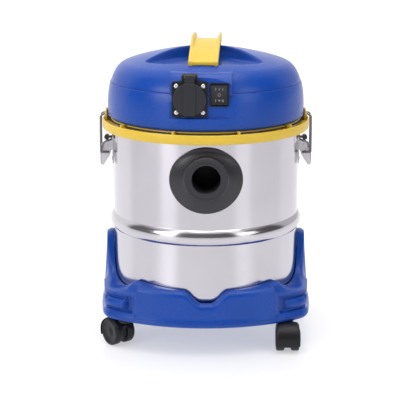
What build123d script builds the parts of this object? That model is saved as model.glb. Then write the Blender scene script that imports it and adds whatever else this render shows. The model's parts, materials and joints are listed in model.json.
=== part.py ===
from build123d import *
from math import atan2, cos, degrees, radians, sin
import os

# Shop vacuum: steel drum on a moulded dolly with four twin-wheel casters, and a motor head that
# clamps on with two wire-bail latches. Millimetres, +Z up, front towards -Y. The origin is on the
# floor under the drum's axis.

# ---------------------------------------------------------------- driving dimensions
running_gap = 0.05            # radial clearance of a pin or shaft that turns in its hole
free_gap = 0.4                # clearance between pieces that pass each other

# drum
drum_radius = 141.8
drum_wall = 0.8
drum_floor = 62.0             # underside of the drum above the floor
drum_corner = 28.0
drum_rim = 330.0              # centre of the rolled rim
rim_radius = 2.2
bead_height = 178.0
bead_width = 24.0
bead_swell = 5.2

# dolly base
base_front = 156.0
base_side = 161.0
base_corner_x = 153.5
base_corner_y = 102.0
base_corner_round = 30.0
base_bottom = 44.0
base_wall = 3.2
base_edge_round = 7.0
deck_thickness = 4.0
pocket_clearance = 0.6
rim_high = 103.0              # front wall beside the corner pods
rim_low = 96.0                # front wall beside the notch
notch_floor = 80.0
notch_half_top = 32.0
notch_half_floor = 8.0
arm_top = 156.0
arm_thickness = 11.0
arm_half_top = 20.0
arm_half_root = 34.0
shoulder_height = 90.0         # foot of the shoulder, on the corner pods
shoulder_round = 26.0

# casters
caster_x = 122.0
caster_y = 104.0
wheel_radius = 20.5
wheel_width = 13.5
wheel_spacing = 12.0          # between the two wheels of one caster
hood_gap = 0.6
hood_wall = 1.9
caster_trail = 18.0
caster_top = 47.0
stem_radius = 4.0
stem_top = 70.0
axle_radius = 3.0
bush_radius = 7.5
bush_flange = 1.7
caster_turns = {              # direction in which each caster trails, degrees from +X
    "front_left": 128.0,
    "front_right": -90.0,
    "rear_left": 115.0,
    "rear_right": 62.0,
}

# hose inlet
inlet_height = 268.0
inlet_bore = 20.5
inlet_collar = 32.5
inlet_reach = 160.0           # mouth of the collar in front of the drum's axis
flange_half_width = 52.2
flange_half_height = 47.0
flange_thickness = 3.2
gasket_thickness = 1.0
spigot_radius = 28.0
spigot_end = 112.0
nut_radius = 37.0

# latches
latch_pivot_x = 150.0
latch_pivot_z = 290.0
bail_pivot_drop = 10.9
bail_pivot_back = 1.5
latch_plate_half = 14.0
latch_plate_low = 262.0
latch_plate_high = 308.0
sheet = 1.5
lever_half = 8.0
lug_gap = 0.3
latch_pin_radius = 2.0
bail_wire = 1.25
bail_half = 12.5

# collar ring
ring_radius = 157.0
ring_bottom = 319.0
ring_top = 336.0
ring_wall = 3.5
ring_bore = 136.0
ring_flange = 2.2
ring_ribs = 10
ear_half = 10.5
ear_lift = 1.0
ear_top = 346.0

# motor head
head_radius = 149.0
head_step = 144.0
head_bottom = 339.0
head_wall = 3.0
seam_height = 390.0
cover_base_radius = 143.4
head_turn = 3.0               # the panel, handle and recess sit turned towards -X
facet_distance = 141.5
facet_half = 44.5
facet_low = 355.0
tower_top = 417.0
tower_depth = 34.0
recess_floor = 421.0

# handle
handle_width = 40.0
handle_thickness = 5.5
lip_width = 5.0
handle_screw_radius = 2.0

# tool socket and switch on the panel
socket_x = -16.0
socket_z = 383.0
socket_plate_size = 51.0
socket_plate_thickness = 3.0
socket_body_radius = 21.0
socket_body_depth = 30.0
socket_well_radius = 19.5
socket_well_depth = 17.0
socket_screw_pitch = 38.0
socket_screw_radius = 1.6
lid_radius = 23.8
lid_thickness = 4.0
lid_gap = 0.5
lid_bar_width = 16.0
lid_hinge_rise = 32.5
lid_knuckle_radius = 3.5
lid_tab_half = 11.2
lid_pin_radius = 1.25
switch_x = 26.0
switch_z = 389.5
switch_width = 28.0
switch_height = 34.0
switch_bezel = 2.0
switch_depth = 22.0
rocker_width = 22.4
rocker_height = 27.6

# motor
fan_case_radius = 68.0
fan_case_height = 29.5
motor_gasket_thickness = 1.5
shaft_radius = 4.0
bearing_radius = 11.0
bearing_height = 7.0
intake_radius = 20.0
stator_radius = 43.0
armature_radius = 23.5
armature_low = 380.0
armature_high = 400.0
upper_bearing = 404.0

# filter and float
cage_flange_radius = 76.0
cage_radius = 43.0
cage_bottom = 230.0
filter_outer = 73.0
filter_inner = 46.5
filter_bottom = 213.0
filter_pleats = 36
float_radius = 28.0
float_height = 30.0

os.makedirs("parts", exist_ok=True)


def save(shape, name):
    """Label one finished sub-part and write it to its own file."""
    shape.label = name
    export_step(shape, f"parts/{name}.step")


# ---------------------------------------------------------------- directions of the turned head
turn = radians(head_turn)
panel_out = Vector(-sin(turn), -cos(turn), 0)     # straight out of the control panel
panel_right = Vector(cos(turn), -sin(turn), 0)
head_plane = Plane(origin=(0, 0, 0), x_dir=panel_right, z_dir=(0, 0, 1))
# Local x runs forward along the handle and local y runs up.
handle_plane = Plane(origin=(0, 0, 0), x_dir=panel_out, z_dir=-panel_right)


def panel_plane(distance):
    """Plane parallel to the panel: local x to its right, local y the height above the floor."""
    return Plane(origin=panel_out * distance, x_dir=panel_right, z_dir=panel_out)


def across_panel(start):
    """Plane square to the panel's width: local x straight out of the panel, local y the height.

    Material extruded by a negative amount runs to the panel's right from the start."""
    return Plane(origin=panel_right * start, x_dir=panel_out, z_dir=-panel_right)


# ================================================================ dolly base
deck_top = drum_floor
deck_bottom = deck_top - deck_thickness
pocket_radius = drum_radius + pocket_clearance
arm_outer = pocket_radius + arm_thickness
boss_bottom = caster_top + free_gap + bush_flange
underside = 20.0              # below everything moulded, for cutting sections
overall = 200.0               # beyond everything moulded
caster_places = {
    "front_left": (-caster_x, -caster_y),
    "front_right": (caster_x, -caster_y),
    "rear_left": (-caster_x, caster_y),
    "rear_right": (caster_x, caster_y),
}
drum_screw_circle = 80.0
drum_screw_radius = 2.5
drum_screw_head = 6.0
deck_rib_height = 9.0
deck_rib_width = 2.5
caster_boss_top = 81.0
caster_rib_length = 32.0      # ties each boss to the drum's pocket and to the corner


def base_outline(height, inset):
    """Plan of the dolly at one height, set in from its outer wall."""
    x, y = base_corner_x - inset, base_corner_y - inset
    side, front = base_side - inset, base_front - inset
    with BuildSketch(Plane.XY.offset(height)) as outline:
        with BuildLine():
            ThreePointArc((-x, -y), (0, -front), (x, -y))
            ThreePointArc((x, -y), (side, 0), (x, y))
            ThreePointArc((x, y), (0, front), (-x, y))
            ThreePointArc((-x, y), (-side, 0), (-x, -y))
        make_face()
        fillet(outline.vertices(), base_corner_round - inset)
    return outline.sketch


def base_flare(inset):
    """Half section of the shoulder that sweeps from the arms down to the corner pods."""
    wall = arm_outer - inset
    root = (wall + 0.5, shoulder_height + shoulder_round - inset)
    foot = (root[0] + shoulder_round, shoulder_height - inset)
    dip = shoulder_round * (1 - cos(radians(45)))
    with BuildSketch(Plane.XZ) as flare:
        with BuildLine():
            Polyline((0, underside), (0, arm_top - inset), (wall, arm_top - inset), root)
            ThreePointArc(root, (root[0] + dip, foot[1] + dip), foot)
            Polyline(foot, (overall, foot[1] - 2), (overall, underside), (0, underside))
        make_face()
    return flare.sketch


def base_front_view(inset):
    """Front view of the tray: a high wall with a V notch, open above the arms."""
    clear = arm_top + 14
    right = [
        (notch_half_floor, notch_floor), (notch_half_top, rim_low), (112, rim_high),
        (132, rim_high + 6), (132, clear), (overall, clear), (overall, underside),
    ]
    left = [(-x, z) for x, z in reversed(right)]
    with BuildSketch(Plane.XZ.offset(-overall)) as view:
        with BuildLine():
            Polyline(*left, *right, close=True)
        make_face()
        notch = view.vertices().filter_by_position(Axis.X, -notch_half_top - 1, notch_half_top + 1)
        fillet(notch, 3.5)
        if inset > 0:
            offset(amount=-inset)
    return view.sketch


def base_side_view():
    """Side view of the tray: low front and back walls with one arm in the middle."""
    shelf = rim_high + 3
    right = [
        (arm_half_top, arm_top + 4), (arm_half_root, shelf), (overall, shelf), (overall, underside),
    ]
    left = [(-y, z) for y, z in reversed(right)]
    with BuildSketch(Plane.YZ.offset(-overall)) as view:
        with BuildLine():
            Polyline(*left, *right, close=True)
        make_face()
        roots = view.vertices().filter_by_position(Axis.Y, -arm_half_root - 1, arm_half_root + 1)
        fillet(roots.group_by(Axis.Z)[0], 22)
    return view.sketch


with BuildPart() as base_hollow:
    extrude(base_outline(base_bottom - 10, base_wall), amount=rim_high - base_bottom)
    revolve(base_flare(base_wall), axis=Axis.Z, mode=Mode.INTERSECT)
    extrude(base_front_view(base_wall), amount=2 * overall, mode=Mode.INTERSECT)
    with BuildSketch(Plane.XY.offset(deck_bottom)):
        Circle(pocket_radius + base_wall)
    extrude(amount=arm_top, mode=Mode.SUBTRACT)

with BuildPart() as base_shell:
    extrude(base_outline(base_bottom, 0), amount=arm_top - base_bottom + 2)
    fillet(base_shell.faces().sort_by(Axis.Z)[0].edges(), base_edge_round)
    revolve(base_flare(0), axis=Axis.Z, mode=Mode.INTERSECT)
    extrude(base_front_view(0), amount=2 * overall, mode=Mode.INTERSECT)
    extrude(base_side_view(), amount=2 * overall, mode=Mode.INTERSECT)
    with BuildSketch(Plane.XY.offset(deck_top)):
        Circle(pocket_radius)
    extrude(amount=arm_top, mode=Mode.SUBTRACT)
    add(base_hollow.part, mode=Mode.SUBTRACT)
    # ribs and bosses under the deck
    with BuildSketch(Plane.XY.offset(deck_bottom)):
        with PolarLocations(0, 4, start_angle=22.5, angular_range=180):
            Rectangle(2 * (base_front - base_wall) - 12, deck_rib_width)
        Circle(61)
        Circle(61 - deck_rib_width, mode=Mode.SUBTRACT)
        with PolarLocations(drum_screw_circle, 3, start_angle=90):
            Circle(drum_screw_head)
    extrude(amount=-deck_rib_height)
    with BuildSketch(Plane.XY.offset(boss_bottom)):
        with Locations(*caster_places.values()):
            Circle(bush_radius + 4.5)
        for x, y in caster_places.values():
            with Locations(Location((x, y, 0), (0, 0, degrees(atan2(y, x))))):
                Rectangle(caster_rib_length, base_wall)
    extrude(amount=caster_boss_top - boss_bottom)
    with BuildSketch(Plane.XY.offset(boss_bottom)):
        with Locations(*caster_places.values()):
            Circle(bush_radius)
    extrude(amount=stem_top + 3 - boss_bottom, mode=Mode.SUBTRACT)
    with BuildSketch(Plane.XY.offset(deck_bottom - deck_rib_height)):
        with PolarLocations(drum_screw_circle, 3, start_angle=90):
            Circle(drum_screw_radius)
    extrude(amount=30, mode=Mode.SUBTRACT)
save(base_shell.part, "base_shell")

with BuildPart() as caster_bushes:
    with BuildSketch(Plane.XY.offset(boss_bottom)):
        with Locations(*caster_places.values()):
            Circle(bush_radius)
    extrude(amount=stem_top + 3 - boss_bottom)
    with BuildSketch(Plane.XY.offset(boss_bottom - bush_flange)):
        with Locations(*caster_places.values()):
            Circle(bush_radius + 3)
    extrude(amount=bush_flange)
    with BuildSketch(Plane.XY.offset(boss_bottom - bush_flange)):
        with Locations(*caster_places.values()):
            Circle(stem_radius + running_gap)
    extrude(amount=stem_top + 1 - boss_bottom + bush_flange, mode=Mode.SUBTRACT)
save(caster_bushes.part, "caster_bushes")

# ================================================================ casters
axle_height = wheel_radius
hood_inner = wheel_radius + hood_gap
hood_outer = hood_inner + hood_wall
web_half = wheel_spacing / 2 - 0.5
pair_half = wheel_spacing / 2 + wheel_width

# Built with the stem on the Z axis and the axle behind it along +X.
with BuildPart() as hood:
    with BuildSketch(Plane.XZ.offset(-pair_half)):
        with Locations((caster_trail, axle_height)):
            Circle(hood_outer)
    extrude(amount=2 * pair_half)
    fillet(hood.edges().filter_by(GeomType.CIRCLE), 1.0)
    with BuildSketch(Plane.XY.offset(axle_height)):
        Circle(8.5)
    extrude(amount=caster_top - axle_height)
    for wheel_side in (-1, 1):
        with BuildSketch(Plane.XZ.offset(wheel_side * web_half)):
            with Locations((caster_trail, axle_height)):
                Circle(hood_inner)
        extrude(amount=wheel_side * pair_half, mode=Mode.SUBTRACT)
    # open underneath, with the web kept clear of the floor
    with BuildSketch(Plane.XY.offset(-10)):
        with Locations((caster_trail, 0)):
            Rectangle(4 * hood_outer, 4 * pair_half)
    extrude(amount=17, mode=Mode.SUBTRACT)
    with BuildSketch(Plane.XY):
        Circle(stem_radius)
    extrude(amount=caster_top + 1, mode=Mode.SUBTRACT)
    with BuildSketch(Plane.XZ.offset(-pair_half)):
        with Locations((caster_trail, axle_height)):
            Circle(axle_radius)
    extrude(amount=2 * pair_half, mode=Mode.SUBTRACT)

with BuildPart() as caster_pins:
    with BuildSketch(Plane.XY.offset(9)):
        Circle(stem_radius)
    extrude(amount=stem_top - 9)
    chamfer(caster_pins.faces().sort_by(Axis.Z)[-1].edges(), 1)
    with BuildSketch(Plane.XZ.offset(-pair_half + 1)):
        with Locations((caster_trail, axle_height)):
            Circle(axle_radius)
    extrude(amount=2 * pair_half - 2)
    # the stem is flatted where the axle passes it
    with BuildSketch(Plane.XZ.offset(-stem_radius - 1)):
        with Locations((caster_trail, axle_height)):
            Circle(axle_radius + 1)
            Circle(axle_radius, mode=Mode.SUBTRACT)
    extrude(amount=2 * stem_radius + 2, mode=Mode.SUBTRACT)

with BuildPart() as caster_wheel:
    with BuildSketch(Plane.XZ.offset(wheel_spacing / 2)):
        with Locations((caster_trail, axle_height)):
            Circle(wheel_radius)
    extrude(amount=wheel_width)
    fillet(caster_wheel.edges().filter_by(GeomType.CIRCLE), 2.2)
    with BuildSketch(Plane.XZ.offset(wheel_spacing / 2 + wheel_width)):
        with Locations((caster_trail, axle_height)):
            Circle(wheel_radius - 3.4)
            Circle(wheel_radius - 4.2, mode=Mode.SUBTRACT)
    extrude(amount=-0.7, mode=Mode.SUBTRACT)
    with BuildSketch(Plane.XZ.offset(wheel_spacing / 2)):
        with Locations((caster_trail, axle_height)):
            Circle(axle_radius + running_gap)
    extrude(amount=wheel_width, mode=Mode.SUBTRACT)

for corner, place in caster_places.items():
    spot = Location((place[0], place[1], 0), (0, 0, caster_turns[corner]))
    save(hood.part.moved(spot), f"caster_{corner}_hood")
    save(caster_pins.part.moved(spot), f"caster_{corner}_pins")
    save(caster_wheel.part.moved(spot), f"caster_{corner}_wheel_a")
    save(caster_wheel.part.mirror(Plane.XZ).moved(spot), f"caster_{corner}_wheel_b")

# ================================================================ drum
bead_low = bead_height - bead_width / 2
bead_high = bead_height + bead_width / 2
latch_rivets_z = (268.0, 302.0)
rivet_radius = 1.6


def drum_section(inset):
    """Half section of the drum, solid to its axis, set in by the sheet's thickness."""
    wall = drum_radius - inset
    floor = drum_floor + inset
    corner = drum_corner - inset
    middle = (wall - corner + corner * cos(radians(45)), floor + corner - corner * sin(radians(45)))
    with BuildSketch(Plane.XZ) as section:
        with BuildLine():
            Line((0, floor), (wall - corner, floor))
            ThreePointArc((wall - corner, floor), middle, (wall, floor + corner))
            Line((wall, floor + corner), (wall, bead_low))
            ThreePointArc((wall, bead_low), (wall + bead_swell, bead_height), (wall, bead_high))
            Polyline((wall, bead_high), (wall, drum_rim), (0, drum_rim), (0, floor))
        make_face()
        edges = section.vertices().filter_by_position(Axis.Z, bead_low - 0.1, bead_high + 0.1)
        fillet(edges.filter_by_position(Axis.X, wall - 0.1, wall + 0.1), 5.0)
    return section.sketch


with BuildPart() as drum:
    revolve(drum_section(0), axis=Axis.Z)
    revolve(drum_section(drum_wall), axis=Axis.Z, mode=Mode.SUBTRACT)
    with BuildSketch(Plane.XZ):
        with Locations((drum_radius + rim_radius - drum_wall, drum_rim)):
            Circle(rim_radius)
    revolve(axis=Axis.Z)
    with BuildSketch(Plane.XZ.offset(drum_radius / 2)):
        with Locations((0, inlet_height)):
            Circle(spigot_radius + 0.3)
    extrude(amount=drum_radius, mode=Mode.SUBTRACT)
    with BuildSketch(Plane.YZ.offset(-drum_radius - 5)):
        with Locations(*[(0, height) for height in latch_rivets_z]):
            Circle(rivet_radius)
    extrude(amount=2 * drum_radius + 10, mode=Mode.SUBTRACT)
    with BuildSketch(Plane.XY.offset(drum_floor - 1)):
        with PolarLocations(drum_screw_circle, 3, start_angle=90):
            Circle(drum_screw_radius)
    extrude(amount=drum_wall + 2, mode=Mode.SUBTRACT)
save(drum.part, "drum")

with BuildPart() as drum_screws:
    with BuildSketch(Plane.XY.offset(deck_bottom - 8)):
        with PolarLocations(drum_screw_circle, 3, start_angle=90):
            Circle(drum_screw_radius)
    extrude(amount=drum_floor + drum_wall + 2 - deck_bottom + 8)
    with BuildSketch(Plane.XY.offset(drum_floor + drum_wall)):
        with PolarLocations(drum_screw_circle, 3, start_angle=90):
            Circle(6)
    extrude(amount=3)
    fillet(drum_screws.faces().sort_by(Axis.Z)[-1].edges(), 1.4)
save(drum_screws.part, "drum_screws")

# ================================================================ hose inlet
inlet_axis = Axis((0, 0, inlet_height), (0, -1, 0))
saddle_inner = drum_radius + gasket_thickness
saddle_outer = saddle_inner + flange_thickness


def saddle(half_width, half_height, inner, outer):
    """Elliptical patch of a cylinder wall round the drum, at the inlet."""
    with BuildPart() as patch:
        with BuildSketch(Plane.XZ.offset(100)):
            with Locations((0, inlet_height)):
                Ellipse(half_width, half_height)
        extrude(amount=60)
        with BuildSketch(Plane.XY.offset(inlet_height - 70)):
            Circle(outer)
            Circle(inner, mode=Mode.SUBTRACT)
        extrude(amount=140, mode=Mode.INTERSECT)
    return patch.part


with BuildPart() as inlet_fitting:
    with BuildSketch(Plane.YZ):
        with BuildLine():
            base = inlet_height + 46
            ridge = inlet_height + inlet_collar
            Line((-125, inlet_height), (-125, base))
            Line((-125, base), (-141.5, base))
            ThreePointArc((-141.5, base), (-147, ridge + 4.4), (-153, ridge))
            Line((-153, ridge), (-inlet_reach + 2, ridge))
            ThreePointArc(
                (-inlet_reach + 2, ridge), (-inlet_reach + 0.6, ridge - 0.6), (-inlet_reach, ridge - 2)
            )
            Polyline((-inlet_reach, ridge - 2), (-inlet_reach, inlet_height), (-125, inlet_height))
        make_face()
    revolve(axis=inlet_axis)
    with BuildSketch(Plane.XY.offset(inlet_height - 70)):
        Circle(saddle_inner)
    extrude(amount=140, mode=Mode.SUBTRACT)
    add(saddle(flange_half_width, flange_half_height, saddle_inner, saddle_outer))
    with BuildSketch(Plane.XZ.offset(spigot_end)):
        with Locations((0, inlet_height)):
            Circle(spigot_radius)
    extrude(amount=inlet_reach - spigot_end - 5)
    with BuildSketch(Plane.XZ.offset(spigot_end - 1)):
        with Locations((0, inlet_height)):
            Circle(inlet_bore)
    extrude(amount=inlet_reach, mode=Mode.SUBTRACT)
    mouth = inlet_fitting.edges().filter_by(GeomType.CIRCLE).group_by(Axis.Y)[0]
    chamfer(mouth.sort_by(SortBy.RADIUS)[0], 2.0)
save(inlet_fitting.part, "inlet_fitting")

with BuildPart() as inlet_gasket:
    add(saddle(flange_half_width - 1.5, flange_half_height - 1.5, drum_radius, saddle_inner))
    with BuildSketch(Plane.XZ.offset(100)):
        with Locations((0, inlet_height)):
            Circle(spigot_radius + 0.3)
    extrude(amount=60, mode=Mode.SUBTRACT)
save(inlet_gasket.part, "inlet_gasket")

nut_back = 126.0
with BuildPart() as inlet_nut:
    with BuildSketch(Plane.XZ.offset(nut_back)):
        with Locations((0, inlet_height)):
            RegularPolygon(nut_radius + 2, 12)
            Circle(spigot_radius + running_gap, mode=Mode.SUBTRACT)
    extrude(amount=20)
    with BuildSketch(Plane.XY.offset(inlet_height - 50)):
        Circle(drum_radius - drum_wall)
    extrude(amount=100, mode=Mode.INTERSECT)
save(inlet_nut.part, "inlet_nut")

deflector_end = 80.0
with BuildPart() as inlet_deflector:
    with BuildSketch(Plane.XZ.offset(deflector_end)):
        with Locations((0, inlet_height)):
            Circle(spigot_radius + 3)
    extrude(amount=nut_back - deflector_end)
    with BuildSketch(Plane.XZ.offset(deflector_end + 2.5)):
        with Locations((0, inlet_height)):
            Circle(spigot_radius + running_gap)
    extrude(amount=nut_back - deflector_end, mode=Mode.SUBTRACT)
    # the lower half is open, so the air is turned down along the drum
    with BuildSketch(Plane.XZ.offset(deflector_end - 1)):
        with Locations((0, inlet_height - 30)):
            Rectangle(80, 44)
    extrude(amount=spigot_end - deflector_end - 1, mode=Mode.SUBTRACT)
save(inlet_deflector.part, "inlet_deflector")

# ================================================================ latches
lug_inner = lever_half + lug_gap
lug_outer = lug_inner + sheet
lug_round = 5.5
lug_foot = drum_radius + 0.4  # within the plate's thickness
bail_pivot_x = latch_pivot_x - bail_pivot_back
bail_pivot_z = latch_pivot_z - bail_pivot_drop
bar_x = ring_radius - 2.0
bar_z = ring_top + ear_lift + free_gap + bail_wire
leg_x = ring_radius + bail_wire + 1.0

with BuildPart() as latch_plate:
    with BuildSketch(Plane.YZ.offset(drum_radius - 8)):
        with Locations((0, (latch_plate_low + latch_plate_high) / 2)):
            RectangleRounded(2 * latch_plate_half, latch_plate_high - latch_plate_low, 5)
    extrude(amount=14)
    with BuildSketch(Plane.XY.offset(latch_plate_low - 1)):
        Circle(drum_radius + sheet)
        Circle(drum_radius, mode=Mode.SUBTRACT)
    extrude(amount=latch_plate_high - latch_plate_low + 2, mode=Mode.INTERSECT)
    for lug_side in (lug_inner, -lug_outer):
        with BuildSketch(Plane.XZ.offset(lug_side)):
            with BuildLine():
                Polyline(
                    (lug_foot, latch_pivot_z + 9), (latch_pivot_x, latch_pivot_z + lug_round),
                    (latch_pivot_x, latch_pivot_z - lug_round), (lug_foot, latch_pivot_z - 7),
                    close=True,
                )
            make_face()
            with Locations((latch_pivot_x, latch_pivot_z)):
                Circle(lug_round)
                Circle(latch_pin_radius, mode=Mode.SUBTRACT)
        extrude(amount=sheet)
    with BuildSketch(Plane.YZ.offset(drum_radius - 5)):
        with Locations(*[(0, height) for height in latch_rivets_z]):
            Circle(rivet_radius)
    extrude(amount=10, mode=Mode.SUBTRACT)

with BuildPart() as latch_rivet:
    with BuildSketch(Plane.YZ.offset(drum_radius - drum_wall - 1)):
        with Locations(*[(0, height) for height in latch_rivets_z]):
            Circle(rivet_radius)
    extrude(amount=drum_wall + sheet + 2)
    with BuildSketch(Plane.YZ.offset(drum_radius + sheet)):
        with Locations(*[(0, height) for height in latch_rivets_z]):
            Circle(rivet_radius + 1.4)
    extrude(amount=1.0)
    with BuildSketch(Plane.YZ.offset(drum_radius - drum_wall - 1.1)):
        with Locations(*[(0, height) for height in latch_rivets_z]):
            Circle(rivet_radius + 1.2)
    extrude(amount=1.0)

with BuildPart() as latch_pin:
    with BuildSketch(Plane.XZ.offset(-lug_outer - 0.8)):
        with Locations((latch_pivot_x, latch_pivot_z)):
            Circle(latch_pin_radius)
    extrude(amount=2 * lug_outer + 1.6)

with BuildPart() as latch_lever:
    with BuildSketch(Plane.XZ.offset(-lever_half)):
        with BuildLine():
            Polyline(
                (latch_pivot_x - 3.6, latch_pivot_z + 2), (latch_pivot_x - 2.4, latch_pivot_z + 4.6),
                (latch_pivot_x + 3.2, latch_pivot_z + 4.8), (latch_pivot_x + 6.2, latch_pivot_z + 1.5),
                (latch_pivot_x + 6.2, latch_pivot_z - 26), (latch_pivot_x + 4.6, latch_pivot_z - 29),
                (latch_pivot_x + 2.9, latch_pivot_z - 28.6), (latch_pivot_x - 3.6, latch_pivot_z - 19),
                close=True,
            )
        make_face()
    extrude(amount=2 * lever_half)
    fillet(latch_lever.edges().filter_by(Axis.Y), 1.0)
    with BuildSketch(Plane.XZ.offset(-lever_half + sheet)):
        with BuildLine():
            Polyline(
                (latch_pivot_x - 8, latch_pivot_z + 12), (latch_pivot_x + 1.5, latch_pivot_z + 12),
                (latch_pivot_x + 4.7, latch_pivot_z + 1), (latch_pivot_x + 4.7, latch_pivot_z - 25.5),
                (latch_pivot_x - 8, latch_pivot_z - 25.5), close=True,
            )
        make_face()
    extrude(amount=2 * (lever_half - sheet), mode=Mode.SUBTRACT)
    with BuildSketch(Plane.XZ.offset(-lever_half)):
        with Locations((latch_pivot_x, latch_pivot_z)):
            Circle(latch_pin_radius + running_gap)
        with Locations((bail_pivot_x, bail_pivot_z)):
            Circle(bail_wire + running_gap)
    extrude(amount=2 * lever_half, mode=Mode.SUBTRACT)

with BuildPart() as bail:
    with BuildLine():
        route = FilletPolyline(
            (bail_pivot_x, -lever_half + 2.5, bail_pivot_z), (bail_pivot_x, -bail_half, bail_pivot_z),
            (leg_x, -bail_half, ring_bottom - 3), (leg_x, -bail_half, bar_z - 3.2),
            (bar_x, -bail_half, bar_z), (bar_x, bail_half, bar_z), (leg_x, bail_half, bar_z - 3.2),
            (leg_x, bail_half, ring_bottom - 3), (bail_pivot_x, bail_half, bail_pivot_z),
            (bail_pivot_x, lever_half - 2.5, bail_pivot_z), radius=1.9,
        )
    with BuildSketch(Plane(origin=route @ 0, z_dir=route % 0)):
        Circle(bail_wire)
    sweep()

moving_pieces = {"latch_lever": latch_lever.part, "bail": bail.part}
for name, piece in moving_pieces.items():
    save(piece.mirror(Plane.YZ), f"{name}_left")
    save(piece, f"{name}_right")

fixed_pieces = {
    "latch_plates": latch_plate.part,
    "latch_rivets": latch_rivet.part,
    "latch_pins": latch_pin.part,
}
for name, piece in fixed_pieces.items():
    save(Compound(children=[*piece.solids(), *piece.mirror(Plane.YZ).solids()]), name)

# ================================================================ collar ring and gasket
with BuildPart() as collar_ring:
    with BuildSketch(Plane.XZ):
        with BuildLine():
            skirt = ring_radius - ring_wall
            Polyline((skirt, ring_bottom), (ring_radius, ring_bottom), (ring_radius, ring_top),
                     (ring_bore, ring_top), (ring_bore, ring_top - ring_flange),
                     (skirt, ring_top - ring_flange), close=True)
        make_face()
    revolve(axis=Axis.Z)
    rims = collar_ring.edges().filter_by(GeomType.CIRCLE)
    fillet(rims.filter_by(lambda e: e.radius > ring_radius - 0.1), 1.6)
    # small bridges across the groove under the head
    with BuildSketch(Plane.XY.offset(ring_top - 1)):
        with PolarLocations(head_step + 4.5, ring_ribs, start_angle=-90 + 180 / ring_ribs):
            Rectangle(8, 8)
    extrude(amount=head_bottom - ring_top + 1 - 0.1)
    # ears that the bails hook over
    with BuildSketch(Plane.XY.offset(ring_top - 3)):
        with Locations((-ring_radius + 4, 0), (ring_radius - 4, 0)):
            Rectangle(8, 2 * ear_half)
    extrude(amount=3 + ear_lift)
    with BuildSketch(Plane.XY.offset(ring_top - 3)):
        with Locations((-head_radius - 2.2, 0), (head_radius + 2.2, 0)):
            Rectangle(2.8, 2 * ear_half)
    extrude(amount=ear_top - ring_top + 3)
    tips = collar_ring.edges().filter_by(Axis.X).group_by(Axis.Z)[-1]
    fillet(tips, 5)
save(collar_ring.part, "collar_ring")

gasket_low = drum_rim + rim_radius + 0.2
with BuildPart() as lid_gasket:
    with BuildSketch(Plane.XY.offset(gasket_low)):
        Circle(drum_radius + 6)
        Circle(drum_radius - 3.5, mode=Mode.SUBTRACT)
    extrude(amount=ring_top - ring_flange - gasket_low)
save(lid_gasket.part, "lid_gasket")

# ================================================================ motor housing and cover
floor_top = ring_top + head_wall
cover_screw_circle = 127.0
cover_screw_radius = 2.0
grille_half_angle = 20.0
grille_low = 347.0
grille_high = 383.0
gland_angle = 62.0            # from +X, at the back right
gland_height = 362.0
gland_radius = 10.0
gland_out = Vector(cos(radians(gland_angle)), sin(radians(gland_angle)), 0)
gland_plane = Plane(origin=(0, 0, 0), x_dir=(-gland_out.Y, gland_out.X, 0), z_dir=gland_out)


def grille_wedge():
    """Plan of the exhaust grille's arc, at the back of the head."""
    reach = 200.0
    edge = reach * sin(radians(grille_half_angle))
    with BuildSketch(Plane.XY.offset(grille_low)) as wedge:
        with BuildLine():
            Polyline((0, 60), (-edge, reach), (edge, reach), close=True)
        make_face()
    return wedge.sketch


def band_section(inset):
    """Half section of the lower head, solid to its axis."""
    with BuildSketch(Plane.XZ) as section:
        with BuildLine():
            low = (head_radius - inset, 356)
            high = (144.6 - inset, seam_height)
            if inset > 0:
                Polyline((0, seam_height), (0, floor_top), (head_step - 2, floor_top),
                         (head_radius - inset, floor_top + 3), low)
            else:
                Polyline((0, seam_height), (0, ring_top), (head_step, ring_top), (head_step, head_bottom),
                         (head_radius, head_bottom), low)
            Spline(low, (147.6 - inset, 376), high, tangents=((0, 1), (-0.35, 1)))
            Line(high, (0, seam_height))
        make_face()
    return section.sketch


def dome_section(inset):
    """Half section of the cover, solid to its axis."""
    with BuildSketch(Plane.XZ) as section:
        with BuildLine():
            rim = (cover_base_radius - inset, seam_height)
            Spline(
                rim, (139.6 - inset, 402), (133.0 - inset, 414.2 - inset / 2), (119 - inset, 422.6 - inset),
                (88, 431.9 - inset), (45, 440 - inset), (0, 443.5 - inset),
                tangents=((-0.25, 1), (-1, 0)),
            )
            Polyline((0, 443.5 - inset), (0, seam_height), rim)
        make_face()
    return section.sketch


def panel_box(half, near, far, low, high):
    """Block square to the panel, between two distances from the axis and two heights."""
    with BuildPart() as block:
        with BuildSketch(panel_plane(near)):
            with Locations((0, (low + high) / 2)):
                Rectangle(2 * half, high - low)
        extrude(amount=far - near)
    return block


tower_near = facet_distance - tower_depth
tower = panel_box(facet_half, tower_near, facet_distance, seam_height - 12, tower_top)
with BuildPart() as tower_outer:
    add(tower.part)
    ridge = tower_outer.edges().filter_by(lambda e: e.center().dot(panel_out) > facet_distance - 0.1)
    fillet(ridge.group_by(Axis.Z)[-1], 6)
tower_inner = panel_box(facet_half - head_wall, tower_near - 1, facet_distance - head_wall,
                        seam_height - 13, tower_top - head_wall)
facet_cut = panel_box(facet_half, facet_distance, facet_distance + 30, facet_low, tower_top + 10)
tower_slot = panel_box(facet_half + 0.3, tower_near - 1, facet_distance + 20,
                       seam_height - 5, tower_top + 0.3)
facet_keep = panel_box(facet_half + head_wall, facet_distance - head_wall, facet_distance + 30,
                       facet_low - head_wall, tower_top + 10)

with BuildPart() as housing_room:
    revolve(band_section(head_wall), axis=Axis.Z)
    add(facet_keep.part, mode=Mode.SUBTRACT)
    add(tower_inner.part)

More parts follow.
